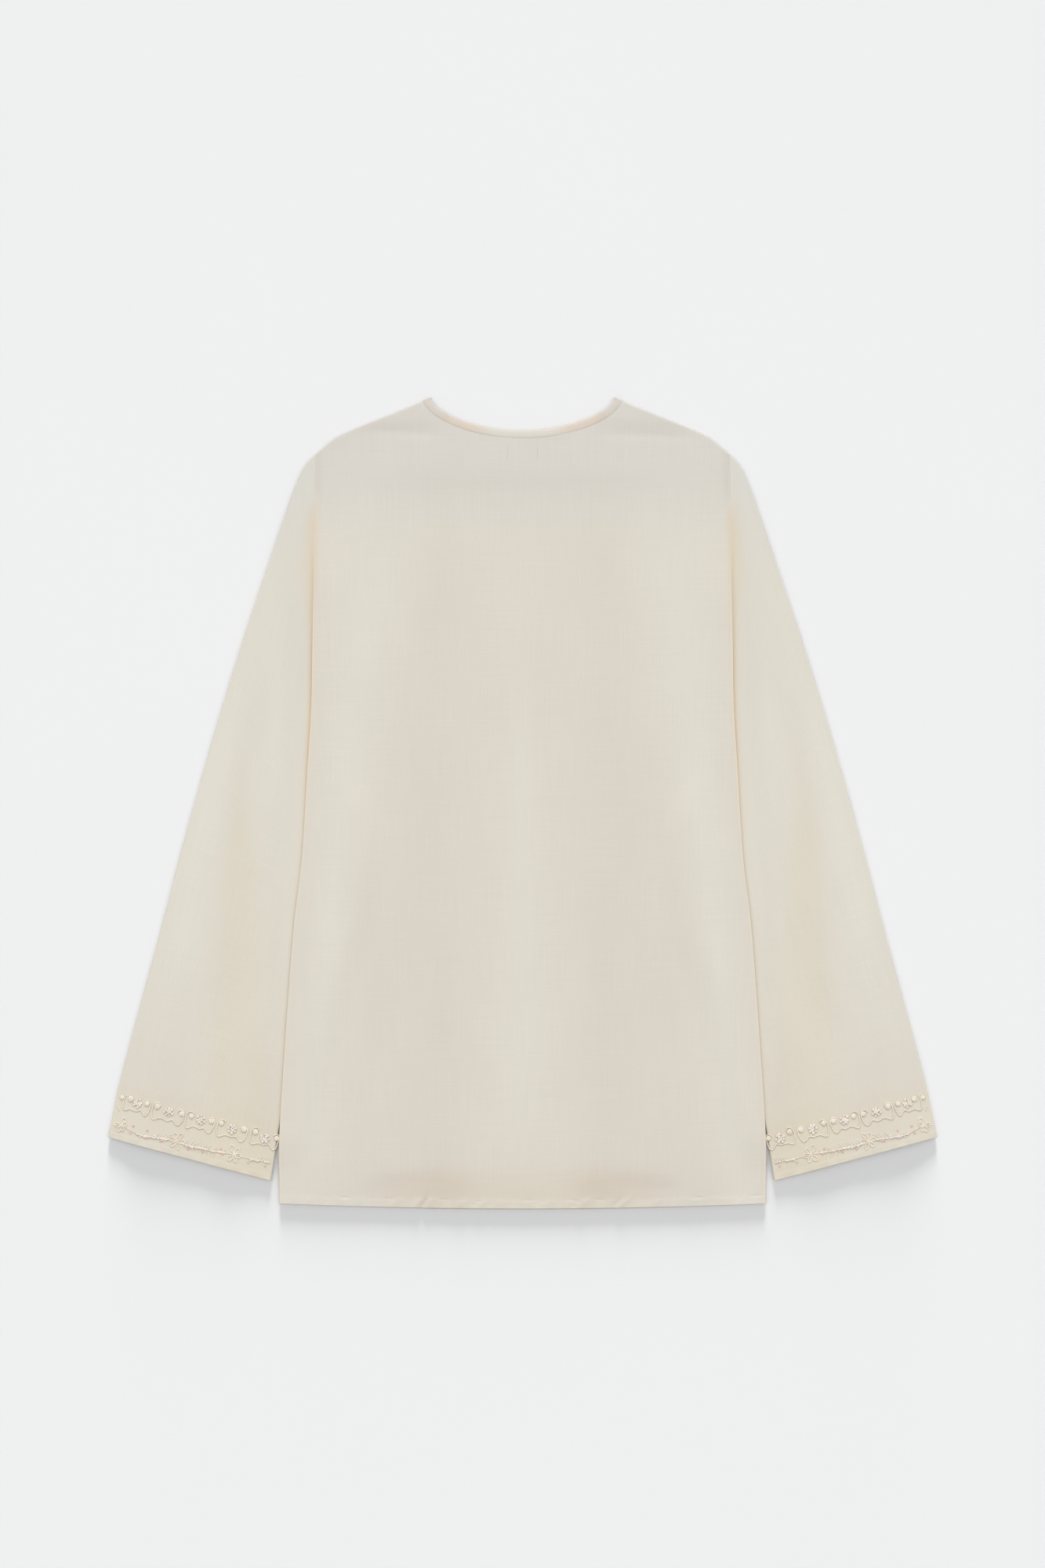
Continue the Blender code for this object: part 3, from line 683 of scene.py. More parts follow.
# %% Columns and rows of the panels
PANEL_WALL = 0.0005
NECK_COLUMNS = 48
BINDING_COVERS = 0.0022
TOP_STEPS = [0.0, 0.0003, 0.0007, 0.0012, 0.0018, 0.0028, 0.0042, 0.0060, 0.0080]
TOP_STEPS += [0.0104 + 0.0024 * k for k in range(24)]
HEM_STEPS = [0.040, 0.036, 0.032, 0.028, 0.0245, 0.021, 0.018, 0.0155, 0.0133, 0.0115, 0.0102, 0.0093]
HEM_STEPS += [0.0086, 0.0081, 0.0076, 0.0071, 0.0064, 0.0055, 0.0045]
HEM_STEPS += [0.0035, 0.0025, 0.0016, 0.0009, 0.0004, 0.0001, 0.0]
SIDE_STEPS = [0.0042, 0.0028, 0.0019, 0.0013, 0.00085, 0.0005, 0.00022, 0.00006, 0.0]


def panel_columns(spacing):
    """Places of the columns along the top edge, from the left armhole to the right one."""
    neck = [NECK_EDGE_X * math.sin(math.pi / 2 * k / NECK_COLUMNS) for k in range(NECK_COLUMNS + 1)]
    reach = SHOULDER_X - SIDE_STEPS[0] - NECK_EDGE_X
    steps = round(reach / spacing)
    side = [NECK_EDGE_X + reach * k / steps for k in range(1, steps)]
    half = neck + side + [SHOULDER_X - step for step in SIDE_STEPS]
    return [-x for x in reversed(half[1:])] + half


def panel_grid(dip, drop, spacing, middle_rows):
    """Rows of plan points with the distance to the top edge and the height above the hem."""
    columns = []
    for top_x in panel_columns(spacing):
        across = top_x / SHOULDER_X
        in_neck = abs(top_x) < NECK_EDGE_X - 1e-6
        if in_neck:
            top = neck_y(top_x, dip) + BINDING_COVERS * math.sqrt(1.0 - (top_x / NECK_EDGE_X) ** 2)
        else:
            top = shoulder_y(top_x)
        hem = hem_line(across, drop)
        start, end = top - TOP_STEPS[-1], hem + HEM_STEPS[0]
        heights = [top - step for step in TOP_STEPS]
        heights += [start + (end - start) * k / middle_rows for k in range(1, middle_rows)]
        heights += [hem + step for step in HEM_STEPS]
        columns.append([(across * body_edge(y), y, in_neck, top - y, y - hem) for y in heights])
    return [list(row) for row in zip(*columns)]


def seam_distance(x, y, in_neck, from_top):
    """How far inside the side and shoulder seams a point lies."""
    side = body_edge(y) - abs(x)
    return side if in_neck else min(side, from_top)


def back_top(x, y):
    """The height of the back's upper face, without its edges."""
    top = neck_y(x, NECK_BACK_DIP) if abs(x) < NECK_EDGE_X else shoulder_y(x)
    inside = min(body_edge(y) - abs(x), top - y, y - HEM_CENTRE_Y)
    fade = smooth_step(0.0, 0.020, inside)
    soft = crease_height(BACK_FOLDS, x, y) * fade + crease_height(BACK_CREASES, x, y) * (0.3 + 0.7 * fade)
    return TOP_FACE + tuck_lift(x, y) + soft + ripple(x, y, 1.0) * (0.35 + 0.65 * fade)


# %% Build the panels
FRONT_CLOTH_STARTS = 1.0


def back_height(x, y, in_neck, from_top, above):
    """The back's upper face, curled down at its seams and at its hem."""
    z = back_top(x, y) + hem_relief(x, above)
    z -= edge_drop(seam_distance(x, y, in_neck, from_top), EDGE_ROUND, side_drop(y))
    return z - edge_drop(above, 0.0007, 0.0003)


def front_height(x, y, in_neck, from_top, above):
    """The front's lower face, flat on the table and raised a little at its neck and its hem."""
    raised = 0.0004 * smooth_step(0.012, 0.006, from_top) if in_neck else 0.0
    raised += 0.0004 * smooth_step(0.0080, 0.0040, above)
    return tuck_lift(x, y) + raised + edge_drop(seam_distance(x, y, in_neck, from_top))


def make_panel(name, grid, height_at, cloth_start, inside_z):
    """One panel from its grid. cloth_start keeps its place on the flat cloth clear of the other's."""
    rows = [[(x, y, height_at(x, y, *rest)) for x, y, *rest in row] for row in grid]
    places = [[(x + cloth_start, y) for x, y, *_ in row] for row in grid]
    tints = [[body_tint(x, y) for x, y, *_ in row] for row in grid]
    return make_sheet(name, rows, places, tints, PANEL_WALL, ivory_cotton, inside_z)


back_grid = panel_grid(NECK_BACK_DIP, 0.0, 0.0022, 104)
back_panel = make_panel("back_panel", back_grid, back_height, 0.0, BELOW)
front_grid = panel_grid(NECK_FRONT_DIP, FRONT_HEM_SHOWS, 0.0044, 60)
front_panel = make_panel("front_panel", front_grid, front_height, FRONT_CLOTH_STARTS, ABOVE)


# %% [markdown]
# ## The sleeves
#
# Each sleeve is a tube that lies flat, so it has two folds, an upper face and a lower face. The upper face
# bulges a little, because the cloth is never pressed quite flat. Its rows run across the sleeve from fold
# to fold, and the turned hem at the cuff is slightly raised.

# %% The sleeve's lines and height
SLEEVE_HEIGHT = 0.0024
SLEEVE_SEAM_HEIGHT = 0.0023
SLEEVE_FULLNESS = 0.0021
BESIDE_BODY_RISE = 0.0008

# Rows of top x, top y, low x, low y, top width, low width, height on the right sleeve
SLEEVE_CREASES = in_metres([
    (222, 225, 352, -230, 8, 10, 0.5), (215, 150, 300, -150, 10, 13, -0.6),
    (228, 60, 285, -180, 8, 12, 0.6), (216, 0, 255, -190, 6, 9, -0.4), (200, 290, 215, 120, 8, 10, 0.4),
    (334, -140, 352, -300, 9, 12, -0.4), (275, -210, 292, -300, 8, 10, 0.4),
])


def sleeve_line(at):
    """The two ends of the line across the sleeve at a place in the table, which may lie between rows."""
    ends = [read_curve(list(enumerate(column)), at) for column in zip(*SLEEVE_LINES)]
    return Vector(ends[:2]), Vector(ends[2:])


def plain_sleeve_top(x, y):
    """The height of the CAD sleeve's upper face, low beside the body and full along the arm."""
    from_outer = read_curve(OUTER_FOLD, y) - x
    inner = max(body_edge(y), read_curve(INNER_FOLD, min(y, UNDERARM_Y)))
    full = smooth_step(0.0, 0.034, from_outer) * smooth_step(0.002, 0.052, x - inner)
    full *= 0.45 + 0.55 * smooth_step(0.300, 0.120, y)
    wave = 0.80 + 0.20 * math.cos(math.tau * (from_outer - 0.030) / 0.110)
    return SLEEVE_HEIGHT + SLEEVE_FULLNESS * full * wave


def sleeve_top(x, y, side):
    """The height of the dressed sleeve's upper face, with its creases. x and y are on the right sleeve."""
    aside = x - body_edge(y)
    clear = smooth_step(0.0, 0.012, aside) * smooth_step(0.0, 0.020, read_curve(OUTER_FOLD, y) - x)
    soft = crease_height(SLEEVE_CREASES, x, y) + ripple(side * x, y, 4.0, 0.024, 0.070)
    beside = smooth_step(-0.004, 0.002, aside) * bell(max(aside - 0.002, 0.0), 0.012)
    beside *= smooth_step(0.110, 0.060, y) * smooth_step(-0.330, -0.290, y)
    return plain_sleeve_top(x, y) + clear * soft + BESIDE_BODY_RISE * beside


# %% Build the sleeves
SLEEVE_WALL = 0.00045
SLEEVE_CLOTH_STARTS = 3.0
FROM_SEAM_STEP = 0.0098
LOWEST_EDGE_DROP = 0.0009
FOLD_STEPS = [0.0, 0.00006, 0.00022, 0.0005, 0.00085, 0.0013, 0.0018]
CUFF_STEPS = [0.0086, 0.0072, 0.0064, 0.0060, 0.0056, 0.0050, 0.0042]
CUFF_STEPS += [0.0032, 0.0022, 0.0013, 0.0007, 0.0003, 0.0]


def across_steps(width, count):
    """Distances across the sleeve, closest at its two folds."""
    reach = FOLD_STEPS[-1]
    middle = [reach + (width - 2 * reach) * k / count for k in range(1, count)]
    return FOLD_STEPS + middle + [width - step for step in reversed(FOLD_STEPS)]


def sleeve_stations():
    """Places down the sleeve table, closest at the armhole seam and at the cuff's hem."""
    outer, inner = sleeve_line(SLEEVE_LAST)
    step = (outer - sleeve_line(SLEEVE_LAST - 1)[0]).length
    early = [0.0, 0.02, 0.05, 0.09, 0.15, 0.24, 0.36, 0.5, 0.65, 0.82]
    middle = [1.0 + k / 7 for k in range(14)] + [3.0 + k / 13 for k in range(13 * (SLEEVE_LAST - 4) + 11)]
    return early + middle + [SLEEVE_LAST - above / step for above in CUFF_STEPS], step


def build_sleeve(name, side):
    """A flat tube from rows across the sleeve, the lower face first and then the upper one back again."""
    stations, cuff_step = sleeve_stations()
    rows, places, tints = [], [], []
    run, before = 0.0, None
    for at in stations:
        outer, inner = sleeve_line(at)
        middle = (outer + inner) / 2
        run += (middle - before).length if before else 0.0
        before = middle
        width = (inner - outer).length
        direction = (inner - outer) / width
        above_cuff = (SLEEVE_LAST - at) * cuff_step
        from_seam = at * FROM_SEAM_STEP
        seam = smooth_step(1.0, 0.0, at)
        band = HEM_RAISE * smooth_step(CUFF_HEM_HEIGHT + 0.0016, CUFF_HEM_HEIGHT - 0.0012, above_cuff)
        recess = 0.0004 * math.exp(-from_seam / 0.0045)
        tuck_in = Vector((-0.0009 * smooth_step(0.10, 0.0, at), 0.0))
        end_drop = edge_drop(from_seam, EDGE_ROUND, 0.0007) + edge_drop(above_cuff, 0.0006, 0.0003)

        row, place, tint = [], [], []
        for way, steps in ((-1, across_steps(width, 22)[:-1]), (1, across_steps(width, 60)[:0:-1])):
            for distance in steps:
                spot = outer + direction * distance
                top = sleeve_top(spot.x, spot.y, side) * (1.0 - seam) + SLEEVE_SEAM_HEIGHT * seam
                half = (top + band - min(end_drop + recess, LOWEST_EDGE_DROP)) / 2
                swell = 1.0 - edge_drop(min(distance, width - distance), EDGE_ROUND, 1.0)
                height = half + way * half * swell
                if way < 0:
                    height += 0.6 * end_drop * swell
                spot += tuck_in
                lift = seam * tuck_lift(body_edge(spot.y), spot.y)
                row.append((side * spot.x, spot.y, height + lift))
                place.append((side * (way * distance + SLEEVE_CLOTH_STARTS), -run))
                tint.append(sleeve_tint(spot.x, spot.y, above_cuff))
        place.append((place[0][0], -run))
        rows.append(row)
        places.append(place)
        tints.append(tint)

    inside_z = SLEEVE_HEIGHT / 2
    piece = make_sheet(name, rows, places, tints, SLEEVE_WALL, ivory_cotton, inside_z, closed=True)
    lines = [sleeve_line(k / 4) for k in range(4 * SLEEVE_LAST + 1)]
    widths = [(inner - outer).length for outer, inner in lines]
    print(name, "length:", round(run, 3), "widest:", round(max(widths), 3), "cuff:", round(widths[-1], 3))
    return piece, 2 * max(widths), run


sleeve_left, sleeve_round, sleeve_length = build_sleeve("sleeve_tube_left", -1)
sleeve_right, _, _ = build_sleeve("sleeve_tube_right", 1)


# %% [markdown]
# ## The neck bindings
#
# A narrow strip of the same cloth, cut on the bias, is folded over each neck edge. In section it is a flat
# C: one leg lies under the panel, the fold runs along the neckline, and the other leg lies on top with its
# raw edge turned in. The strip is warmer than the panels on both flanks of the neck, where it turns most.

# %% Build the bindings
BINDING_WALL = 0.0003


def neck_line(dip, count):
    """Points along the neck edge from left to right, each with the way to the neckline."""
    edge = []
    for k in range(count + 1):
        x = NECK_EDGE_X * math.sin(math.pi * (k / count - 0.5))
        inside = 0 < k < count
        edge.append(Vector((x, neck_y(x, dip) if inside else shoulder_y(x))))
    found = []
    for k, point in enumerate(edge):
        run = edge[min(k + 1, count)] - edge[max(k - 1, 0)]
        out = Vector((-run.y, run.x)).normalized() * (SEAM + NECK_BINDING_WIDTH)
        side = math.copysign(1.0, point.x)
        peak = Vector((side * NECK_PEAK.x, NECK_PEAK.y))
        share = smooth_step(0.93, 1.0, abs(2 * k / count - 1))
        found.append((point, out * (1 - share) + (peak - point) * share))
    return found


def build_binding(name, dip, bottom, thick, crown):
    """A strip folded over a neck edge. A row of its section is the share across, height and swell."""
    section = [(-0.02, 0.10, 0), (0.0, 0.0, 0), (0.25, 0.0, 0), (0.6, 0.0, 0), (0.88, 0.0, 0)]
    for k in range(7):
        turn = math.pi * (k / 6 - 0.5)
        section.append((0.90 + 0.10 * math.cos(turn), 0.5 + 0.5 * math.sin(turn), 0.3 * k / 6))
    section += [(0.80, 0.99, 0.65), (0.65, 0.97, 0.92), (0.5, 0.94, 1.0), (0.35, 0.90, 0.96)]
    section += [(0.2, 0.86, 0.75), (0.09, 0.82, 0.42), (0.02, 0.76, 0.1), (-0.02, 0.68, 0.0)]
    section.append((-0.03, 0.60, 0.0))
    rows, places, tints = [], [], []
    run, before = 0.0, None
    for point, out in neck_line(dip, 150):
        run += (point - before).length if before else 0.0
        before = point
        pucker = 1.0 + 0.55 * unevenness(run / 0.0045, dip * 9.0, 2.0)
        row, place = [], []
        for share, height, swell in section:
            spot = point + out * share
            row.append((spot.x, spot.y, bottom + thick * height + crown * swell * pucker))
            place.append((run, out.length * (share if height < 0.5 else 2.0 - share)))
        rows.append(row)
        places.append(place)
        aside = abs(point.x)
        flank = smooth_step(0.022, 0.050, aside) * smooth_step(0.082, 0.070, aside)
        ends = smooth_step(0.064, 0.080, aside)
        tint = mixed_tint([(FLANK, 0.8 * flank), (DIM, 1.1 * ends), (COOL, 0.6 * ends)])
        tints.append([tint] * len(row))
    return make_sheet(name, rows, places, tints, BINDING_WALL, binding_cotton)


back_bottom = CLOTH + SEAM + 0.0001
back_binding = build_binding("neck_binding_back_fold", NECK_BACK_DIP, back_bottom, 0.0013, 0.00035)
front_binding = build_binding("neck_binding_front_fold", NECK_FRONT_DIP, 0.0, 0.0011, 0.0001)

# %% [markdown]
# ## Stitches and embroidery
#
# A line of machine stitches is one small stitch copied many times along a line. The embroidery is raised
# thread, so it is modelled as thread too: each strand is a curve with a round bevel, which Blender then
# converts to a mesh. A couched cord is two strands that twist round each other. Satin dots are short arched
# strands side by side, and the flowers of the lower row are loops. The arrangement follows ordinary folk
# patterns, and each cuff mirrors the other.

# %% Helpers for thread
def smooth_path(points, spacing):
    """Evenly spaced points on a smooth curve through the given ones."""
    points = [Vector(point) for point in points]
    ends = [2 * points[0] - points[1]] + points + [2 * points[-1] - points[-2]]
    dense = []
    for a, b, c, d in zip(ends, ends[1:], ends[2:], ends[3:]):
        for k in range(12):
            t = k / 12
            curve = 2 * b + (c - a) * t + (2 * a - 5 * b + 4 * c - d) * t**2
            dense.append(0.5 * (curve + (3 * b - a - 3 * c + d) * t**3))
    dense.append(points[-1])
    lengths = [0.0]
    for a, b in zip(dense, dense[1:]):
        lengths.append(lengths[-1] + (b - a).length)
    count = max(round(lengths[-1] / spacing), 2)
    found, i = [], 0
    for k in range(count + 1):
        at = lengths[-1] * k / count
        while i < len(lengths) - 2 and lengths[i + 1] < at:
            i += 1
        share = (at - lengths[i]) / max(lengths[i + 1] - lengths[i], 1e-9)
        found.append(dense[i].lerp(dense[i + 1], min(share, 1.0)))
    return found


def make_threads(name, strands, radius, material, sides=1):
    """One piece of round threads. A strand is a list of points."""
    curve = bpy.data.curves.new(name, "CURVE")
    curve.dimensions = "3D"
    curve.bevel_depth = radius
    curve.bevel_resolution = sides
    curve.use_fill_caps = True
    for strand in strands:
        spline = curve.splines.new("POLY")
        spline.points.add(len(strand) - 1)
        for point, place in zip(spline.points, strand):
            point.co = (*place, 1.0)
    new_piece(name, curve)
    bpy.ops.object.convert(target="MESH")
    piece = bpy.context.object
    piece.name = name
    piece.data.materials.clear()
    piece.data.materials.append(material)
    bpy.ops.object.shade_smooth()
    print(name, "strands:", len(strands), "faces:", len(piece.data.polygons))
    return piece


def twisted(path, radius, pitch):
    """The two strands of a cord twisted round a path that lies on cloth."""
    strands = [[], []]
    run = 0.0
    for k, point in enumerate(path):
        ahead = path[min(k + 1, len(path) - 1)] - path[max(k - 1, 0)]
        aside = Vector((-ahead.y, ahead.x, 0.0)).normalized()
        run += (point - path[k - 1]).length if k else 0.0
        for ply in (0, 1):
            turn = math.tau * (run / pitch + ply / 2)
            round_path = aside * (radius * math.cos(turn)) + Vector((0, 0, radius * math.sin(turn)))
            strands[ply].append(point + round_path)
    return strands


def copies_joined(name, seed_piece, places, material):
    """Copies a small piece to many places, each with its own turn and scale, and joins them."""
    bm = bmesh.new()
    for place in places:
        before = len(bm.verts)
        bm.from_mesh(seed_piece.data)
        bm.verts.ensure_lookup_table()
        bmesh.ops.transform(bm, matrix=place, verts=bm.verts[before:])
    mesh = bpy.data.meshes.new(name)
    bm.to_mesh(mesh)
    bm.free()
    mesh.materials.clear()
    mesh.materials.append(material)
    mesh.shade_smooth()
    piece = new_piece(name, mesh)
    print(name, "copies:", len(places), "faces:", len(mesh.polygons))
    return piece


# %% Places on a cuff
CUFF_OUTER, CUFF_INNER = sleeve_line(SLEEVE_LAST)
CUFF_RUN = (CUFF_INNER - CUFF_OUTER).normalized()
CUFF_UP = Vector((CUFF_RUN.y, -CUFF_RUN.x))


def cuff_spot(along, above, side, rise=0.0):
    """A point over the sleeve, measured along the cuff from its outer fold and up from its edge."""
    spot = CUFF_OUTER + CUFF_RUN * along + CUFF_UP * above
    raised = HEM_RAISE if above < CUFF_HEM_HEIGHT else 0.0
    return Vector((side * spot.x, spot.y, sleeve_top(spot.x, spot.y, side) + raised + rise))


print("cuff length:", round((CUFF_INNER - CUFF_OUTER).length, 4))

# %% Model one stitch
STITCH_LENGTH = 0.0021
STITCH_PITCH = 0.0027
STITCH_RADIUS = 0.00017
STITCH_END_DROP = 0.00028
bpy.ops.object.select_all(action="DESELECT")
bpy.ops.mesh.primitive_cylinder_add(
    vertices=6, radius=STITCH_RADIUS, depth=STITCH_LENGTH, rotation=(0, math.pi / 2, 0)
)
stitch = bpy.context.object
stitch.name = "stitch_seed"
bpy.ops.object.transform_apply(location=True, rotation=True, scale=True)
bpy.ops.object.mode_set(mode="EDIT")
bpy.ops.mesh.select_all(action="SELECT")
bpy.ops.mesh.bisect(plane_co=(0, 0, 0), plane_no=(1, 0, 0))
bpy.ops.mesh.select_all(action="DESELECT")
bpy.ops.object.mode_set(mode="OBJECT")
for vertex in stitch.data.vertices:
    if abs(vertex.co.x) > 0.4 * STITCH_LENGTH:
        vertex.co.z -= STITCH_END_DROP
        vertex.co.y *= 0.7
print("stitch faces:", len(stitch.data.polygons))


def stitch_line(points):
    """A place for each stitch on a smooth line through the points, turned along it."""
    path = smooth_path(points, STITCH_PITCH)
    places = []
    for a, b in zip(path, path[1:]):
        turn = (b - a).to_track_quat("X", "Z").to_matrix().to_4x4()
        places.append(Matrix.Translation((a + b) / 2) @ turn)
    return places


# %% Sew the hem, the shoulders and the cuffs
def on_back(x, y, rise):
    """A point over the back's upper face."""
    return Vector((x, y, back_top(x, y) + rise))


HEM_POINTS = 220
HEM_STITCH_REACH = 0.993
SHOULDER_STITCH_INSET = 0.0052
CUFF_STITCH_START = 0.0012
CUFF_STITCH_RUN = 0.1512
TACK_X = 0.0138
TACK_TOP = 0.3265
hem_path = []
for k in range(HEM_POINTS + 1):
    across = 2 * k / HEM_POINTS - 1
    y = hem_line(across, 0.0) + HEM_STITCH_LINE
    x = HEM_STITCH_REACH * across * body_edge(y)
    hem_path.append(on_back(x, y, hem_relief(x, HEM_STITCH_LINE) + 0.00003))
sewn = stitch_line(hem_path)
for side in (-1, 1):
    places = [0.094 + 0.004 * k for k in range(24)]
    sewn += stitch_line(
        [on_back(side * x, shoulder_y(x) - SHOULDER_STITCH_INSET, 0.00001) for x in places]
    )
body_stitches = copies_joined("body_stitches", stitch, sewn, sewing_thread)

tacks = [
    [on_back(side * TACK_X, TACK_TOP - 0.0012 * k, -0.00002) for k in range(11)] for side in (-1, 1)
]
neck_tacks = make_threads("neck_tacks", tacks, 0.00022, sewing_thread)

cuff_stitches = {}
for side, word in SIDES:
    above = CUFF_HEM_HEIGHT + 0.0003
    places = [CUFF_STITCH_START + CUFF_STITCH_RUN * k / 60 for k in range(61)]
    sewn = stitch_line([cuff_spot(along, above, side, -0.00012) for along in places])
    cuff_stitches[side] = copies_joined(f"cuff_stitches_{word}", stitch, sewn, sewing_thread)

# %% [markdown]
# ## Knots
#
# A French knot is thread wound round the needle and pulled down: a small thick ring with a dimple. It
# starts as a torus. In edit mode its innermost ring is merged into one point, which closes the hole and
# leaves the dimple. Copies of it make the flowers, the beaded stem and the coral dots.

# %% Model one French knot
KNOT_RADIUS = 0.00068
KNOT_THICKNESS = 0.00046
KNOT_UNEVENNESS = 0.00012
bpy.ops.object.select_all(action="DESELECT")
bpy.ops.mesh.primitive_torus_add(
    major_segments=10, minor_segments=6, major_radius=KNOT_RADIUS, minor_radius=KNOT_THICKNESS
)
knot = bpy.context.object
knot.name = "knot_seed"
bpy.ops.object.mode_set(mode="EDIT")
bpy.ops.mesh.select_all(action="DESELECT")
bpy.ops.object.mode_set(mode="OBJECT")
for vertex in knot.data.vertices:
    vertex.select = math.hypot(vertex.co.x, vertex.co.y) < 0.0003
bpy.ops.object.mode_set(mode="EDIT")
bpy.ops.mesh.merge(type="CENTER")
bpy.ops.transform.translate(value=(0.0, 0.0, KNOT_UNEVENNESS))
bpy.ops.mesh.select_all(action="SELECT")
bpy.ops.mesh.normals_make_consistent(inside=False)
bpy.ops.object.mode_set(mode="OBJECT")
for vertex in knot.data.vertices:
    vertex.co.z += KNOT_UNEVENNESS * math.sin(3 * math.atan2(vertex.co.y, vertex.co.x) + 5000 * vertex.co.z)
print("knot faces:", len(knot.data.polygons))


def knot_place(spot, scale, draw):
    """A place for one knot, turned and sized by chance."""
    turn = Matrix.Rotation(draw.uniform(0, math.tau), 4, "Z")
    size = scale * draw.uniform(0.88, 1.12)
    narrow = size * draw.uniform(0.9, 1.05)
    return Matrix.Translation(spot) @ turn @ Matrix.Diagonal((size, narrow, size, 1.0))


# %% The patterns, as places along the cuff and above its edge
# Rows of the flower's place along and above, and how much its bracket of the scroll is raised and widened
FLOWERS = in_metres([
    (18.3, 37.6, 0.8, 0.93), (47.7, 37.1, 0.4, 1.10), (78.1, 37.9, 0, 1.00), (108.6, 37.2, 0.8, 1.04),
    (139.5, 36.5, 2.2, 1.00),
], kept=1)

# Rows of the dot's place along and above, and its size
DOTS = in_metres([
    (3, 38.7, 0.80), (11.1, 39.6, 1.10), (26.7, 39.1, 0.92), (36.3, 39.4, 1.15), (59.8, 38.6, 0.98),
    (69.1, 38.8, 0.92), (87.9, 39.1, 1.00), (97.3, 39.6, 0.92), (118.7, 39.3, 1.04), (129.3, 39.9, 1.08),
    (149.6, 39.2, 0.90),
], kept=1)
DOT_RADIUS = 0.0024

# One bracket of the scroll about its flower, from the hook over its left dot to the hook over its right dot
SCROLL = in_metres([
    (-7.5, 3.2), (-8.5, 5), (-10.8, 5.1), (-13, 3.4), (-13.8, 0), (-13.7, -3.6), (-13.1, -7),
    (-11.8, -10), (-9.6, -10.1), (-7, -8.4), (-4.6, -7.6), (-2, -7.9), (0.4, -8.3), (2.6, -7.4),
    (4.4, -6.6), (6.4, -7.9), (8.4, -9.8), (10.4, -9.9), (12, -7.6), (12.9, -4), (13.1, 0), (12.3, 2.6),
    (10.4, 4.1), (8.3, 3.6), (7.2, 1.8),
])
SCROLL_HOOK = 3
SCROLL_START = 0.0012
SCROLL_END = 0.1522

# The stem of the lower row
STEM = in_metres([
    (2, 12.6), (9, 13.6), (16.5, 12.2), (26.2, 10.3), (41.7, 11.1), (52.5, 12.4), (61.7, 12.8),
    (69.5, 11.9), (87.9, 12.6), (106.1, 14.1), (115.8, 14.9), (125, 14.9), (135.7, 15.1), (148.4, 16.2),
])

# The looped flowers' places, and the length and the direction in degrees of each petal
LOOP_PLACES = in_metres([(9, 13.6), (61.7, 13), (115.8, 15)])
LOOP_PETALS = [
    in_metres([(8, 77), (5.4, 40), (5.1, 304), (6.2, 255), (6, 182)], kept=1),
    in_metres([(7.9, 112), (9, 67), (7.8, 9), (8.2, 300), (6.8, 238), (6.5, 172)], kept=1),
    in_metres([(9, 119), (7.2, 62), (6.8, 358), (7.4, 298), (7.6, 239)], kept=1),
]

# Stretches of the stem that are covered with knots
WOUND = in_metres([(25, 54), (69, 107), (132.2, 139.8), (145.2, 149.2)])

# Single coral knots on both sides of the stem
CORAL_DOTS = in_metres([
    (19.9, 16.3), (18.8, 9.5), (33.4, 15.8), (33.4, 9.2), (47.8, 9.6), (49.1, 10.7), (74.2, 9.3),
    (87.4, 10.6), (103, 16.9), (105.5, 13.1), (130.1, 11.3), (146.1, 12.2),
])

# Rows of the place along the cuff, and the reach of its fine side stitches up and down from the stem
STEM_SIDES = in_metres([
    (40, 5, 2.6), (42.5, 6.2, 0), (45.5, 4.8, 3), (48, 6.6, 2.4), (50.5, 5.8, 3.4), (53, 7, 0),
    (69, 6, 3), (71.5, 4.2, 0), (74.5, 6.2, 4.4), (77.2, 5, 3.6), (80, 6.6, 5.2), (83, 5.4, 4.6),
    (85.8, 6.4, 6.8), (88.5, 4, 5.6), (91.2, 5.6, 7), (94, 0, 7.4), (96.5, 4.6, 6.2), (99, 3.8, 7.8),
    (102, 0, 6), (105, 4.4, 5), (137, 4, 0), (139.5, 5.2, 4.2), (142.5, 4.6, 6), (145, 5.8, 0),
    (147.5, 5, 3.4),
])
print("flowers on a cuff:", len(FLOWERS) + len(LOOP_PLACES))

# %% Threads laid on the cuff
TIE_EVERY = 15
DOT_STRANDS = 9
DOT_STRAND_SPACING = 0.222
STEM_KNOT_SPACING = 0.0017
RING_KNOTS = 7
INNER_KNOTS = 4


def on_cuff(points, side, rise, spacing=0.0005):
    """A smooth line over the cuff through points along and above."""
    flat = smooth_path([(along, above, 0.0) for along, above in points], spacing)
    return [cuff_spot(point.x, point.y, side, rise) for point in flat]


def scroll_strands(side):
    """The twisted cord of the scroll, and the small stitches that tie it down."""
    cords, ties = [], []
    for k, (along, above, raised, wide) in enumerate(FLOWERS):
        points = []
        for i, (aside, up) in enumerate(SCROLL):
            points.append((along + aside * wide, above + up + raised + 0.0003 * math.sin(5 * k + i)))
        if k == 0:
            points = points[SCROLL_HOOK:-SCROLL_HOOK]
        points = [point for point in points if SCROLL_START < point[0] < SCROLL_END]
        path = on_cuff(points, side, 0.00050, 0.0004)
        cords += twisted(path, 0.00022, 0.0034)
        for i in range(6, len(path) - 3, TIE_EVERY):
            ahead = (path[i + 1] - path[i - 1]).normalized()
            lean = Vector((-ahead.y, ahead.x, 0.0)) * 0.00055 + ahead * 0.0003
            low = Vector((0.0, 0.0, 0.0004))
            ties.append([path[i] - lean - low, path[i] + Vector((0.0, 0.0, 0.00044)), path[i] + lean - low])
    loose_end = on_cuff([(0.0010, 0.0300), (0.0025, 0.0288), (0.0036, 0.0268)], side, 0.00040)
    return cords + twisted(loose_end, 0.00022, 0.0034), ties


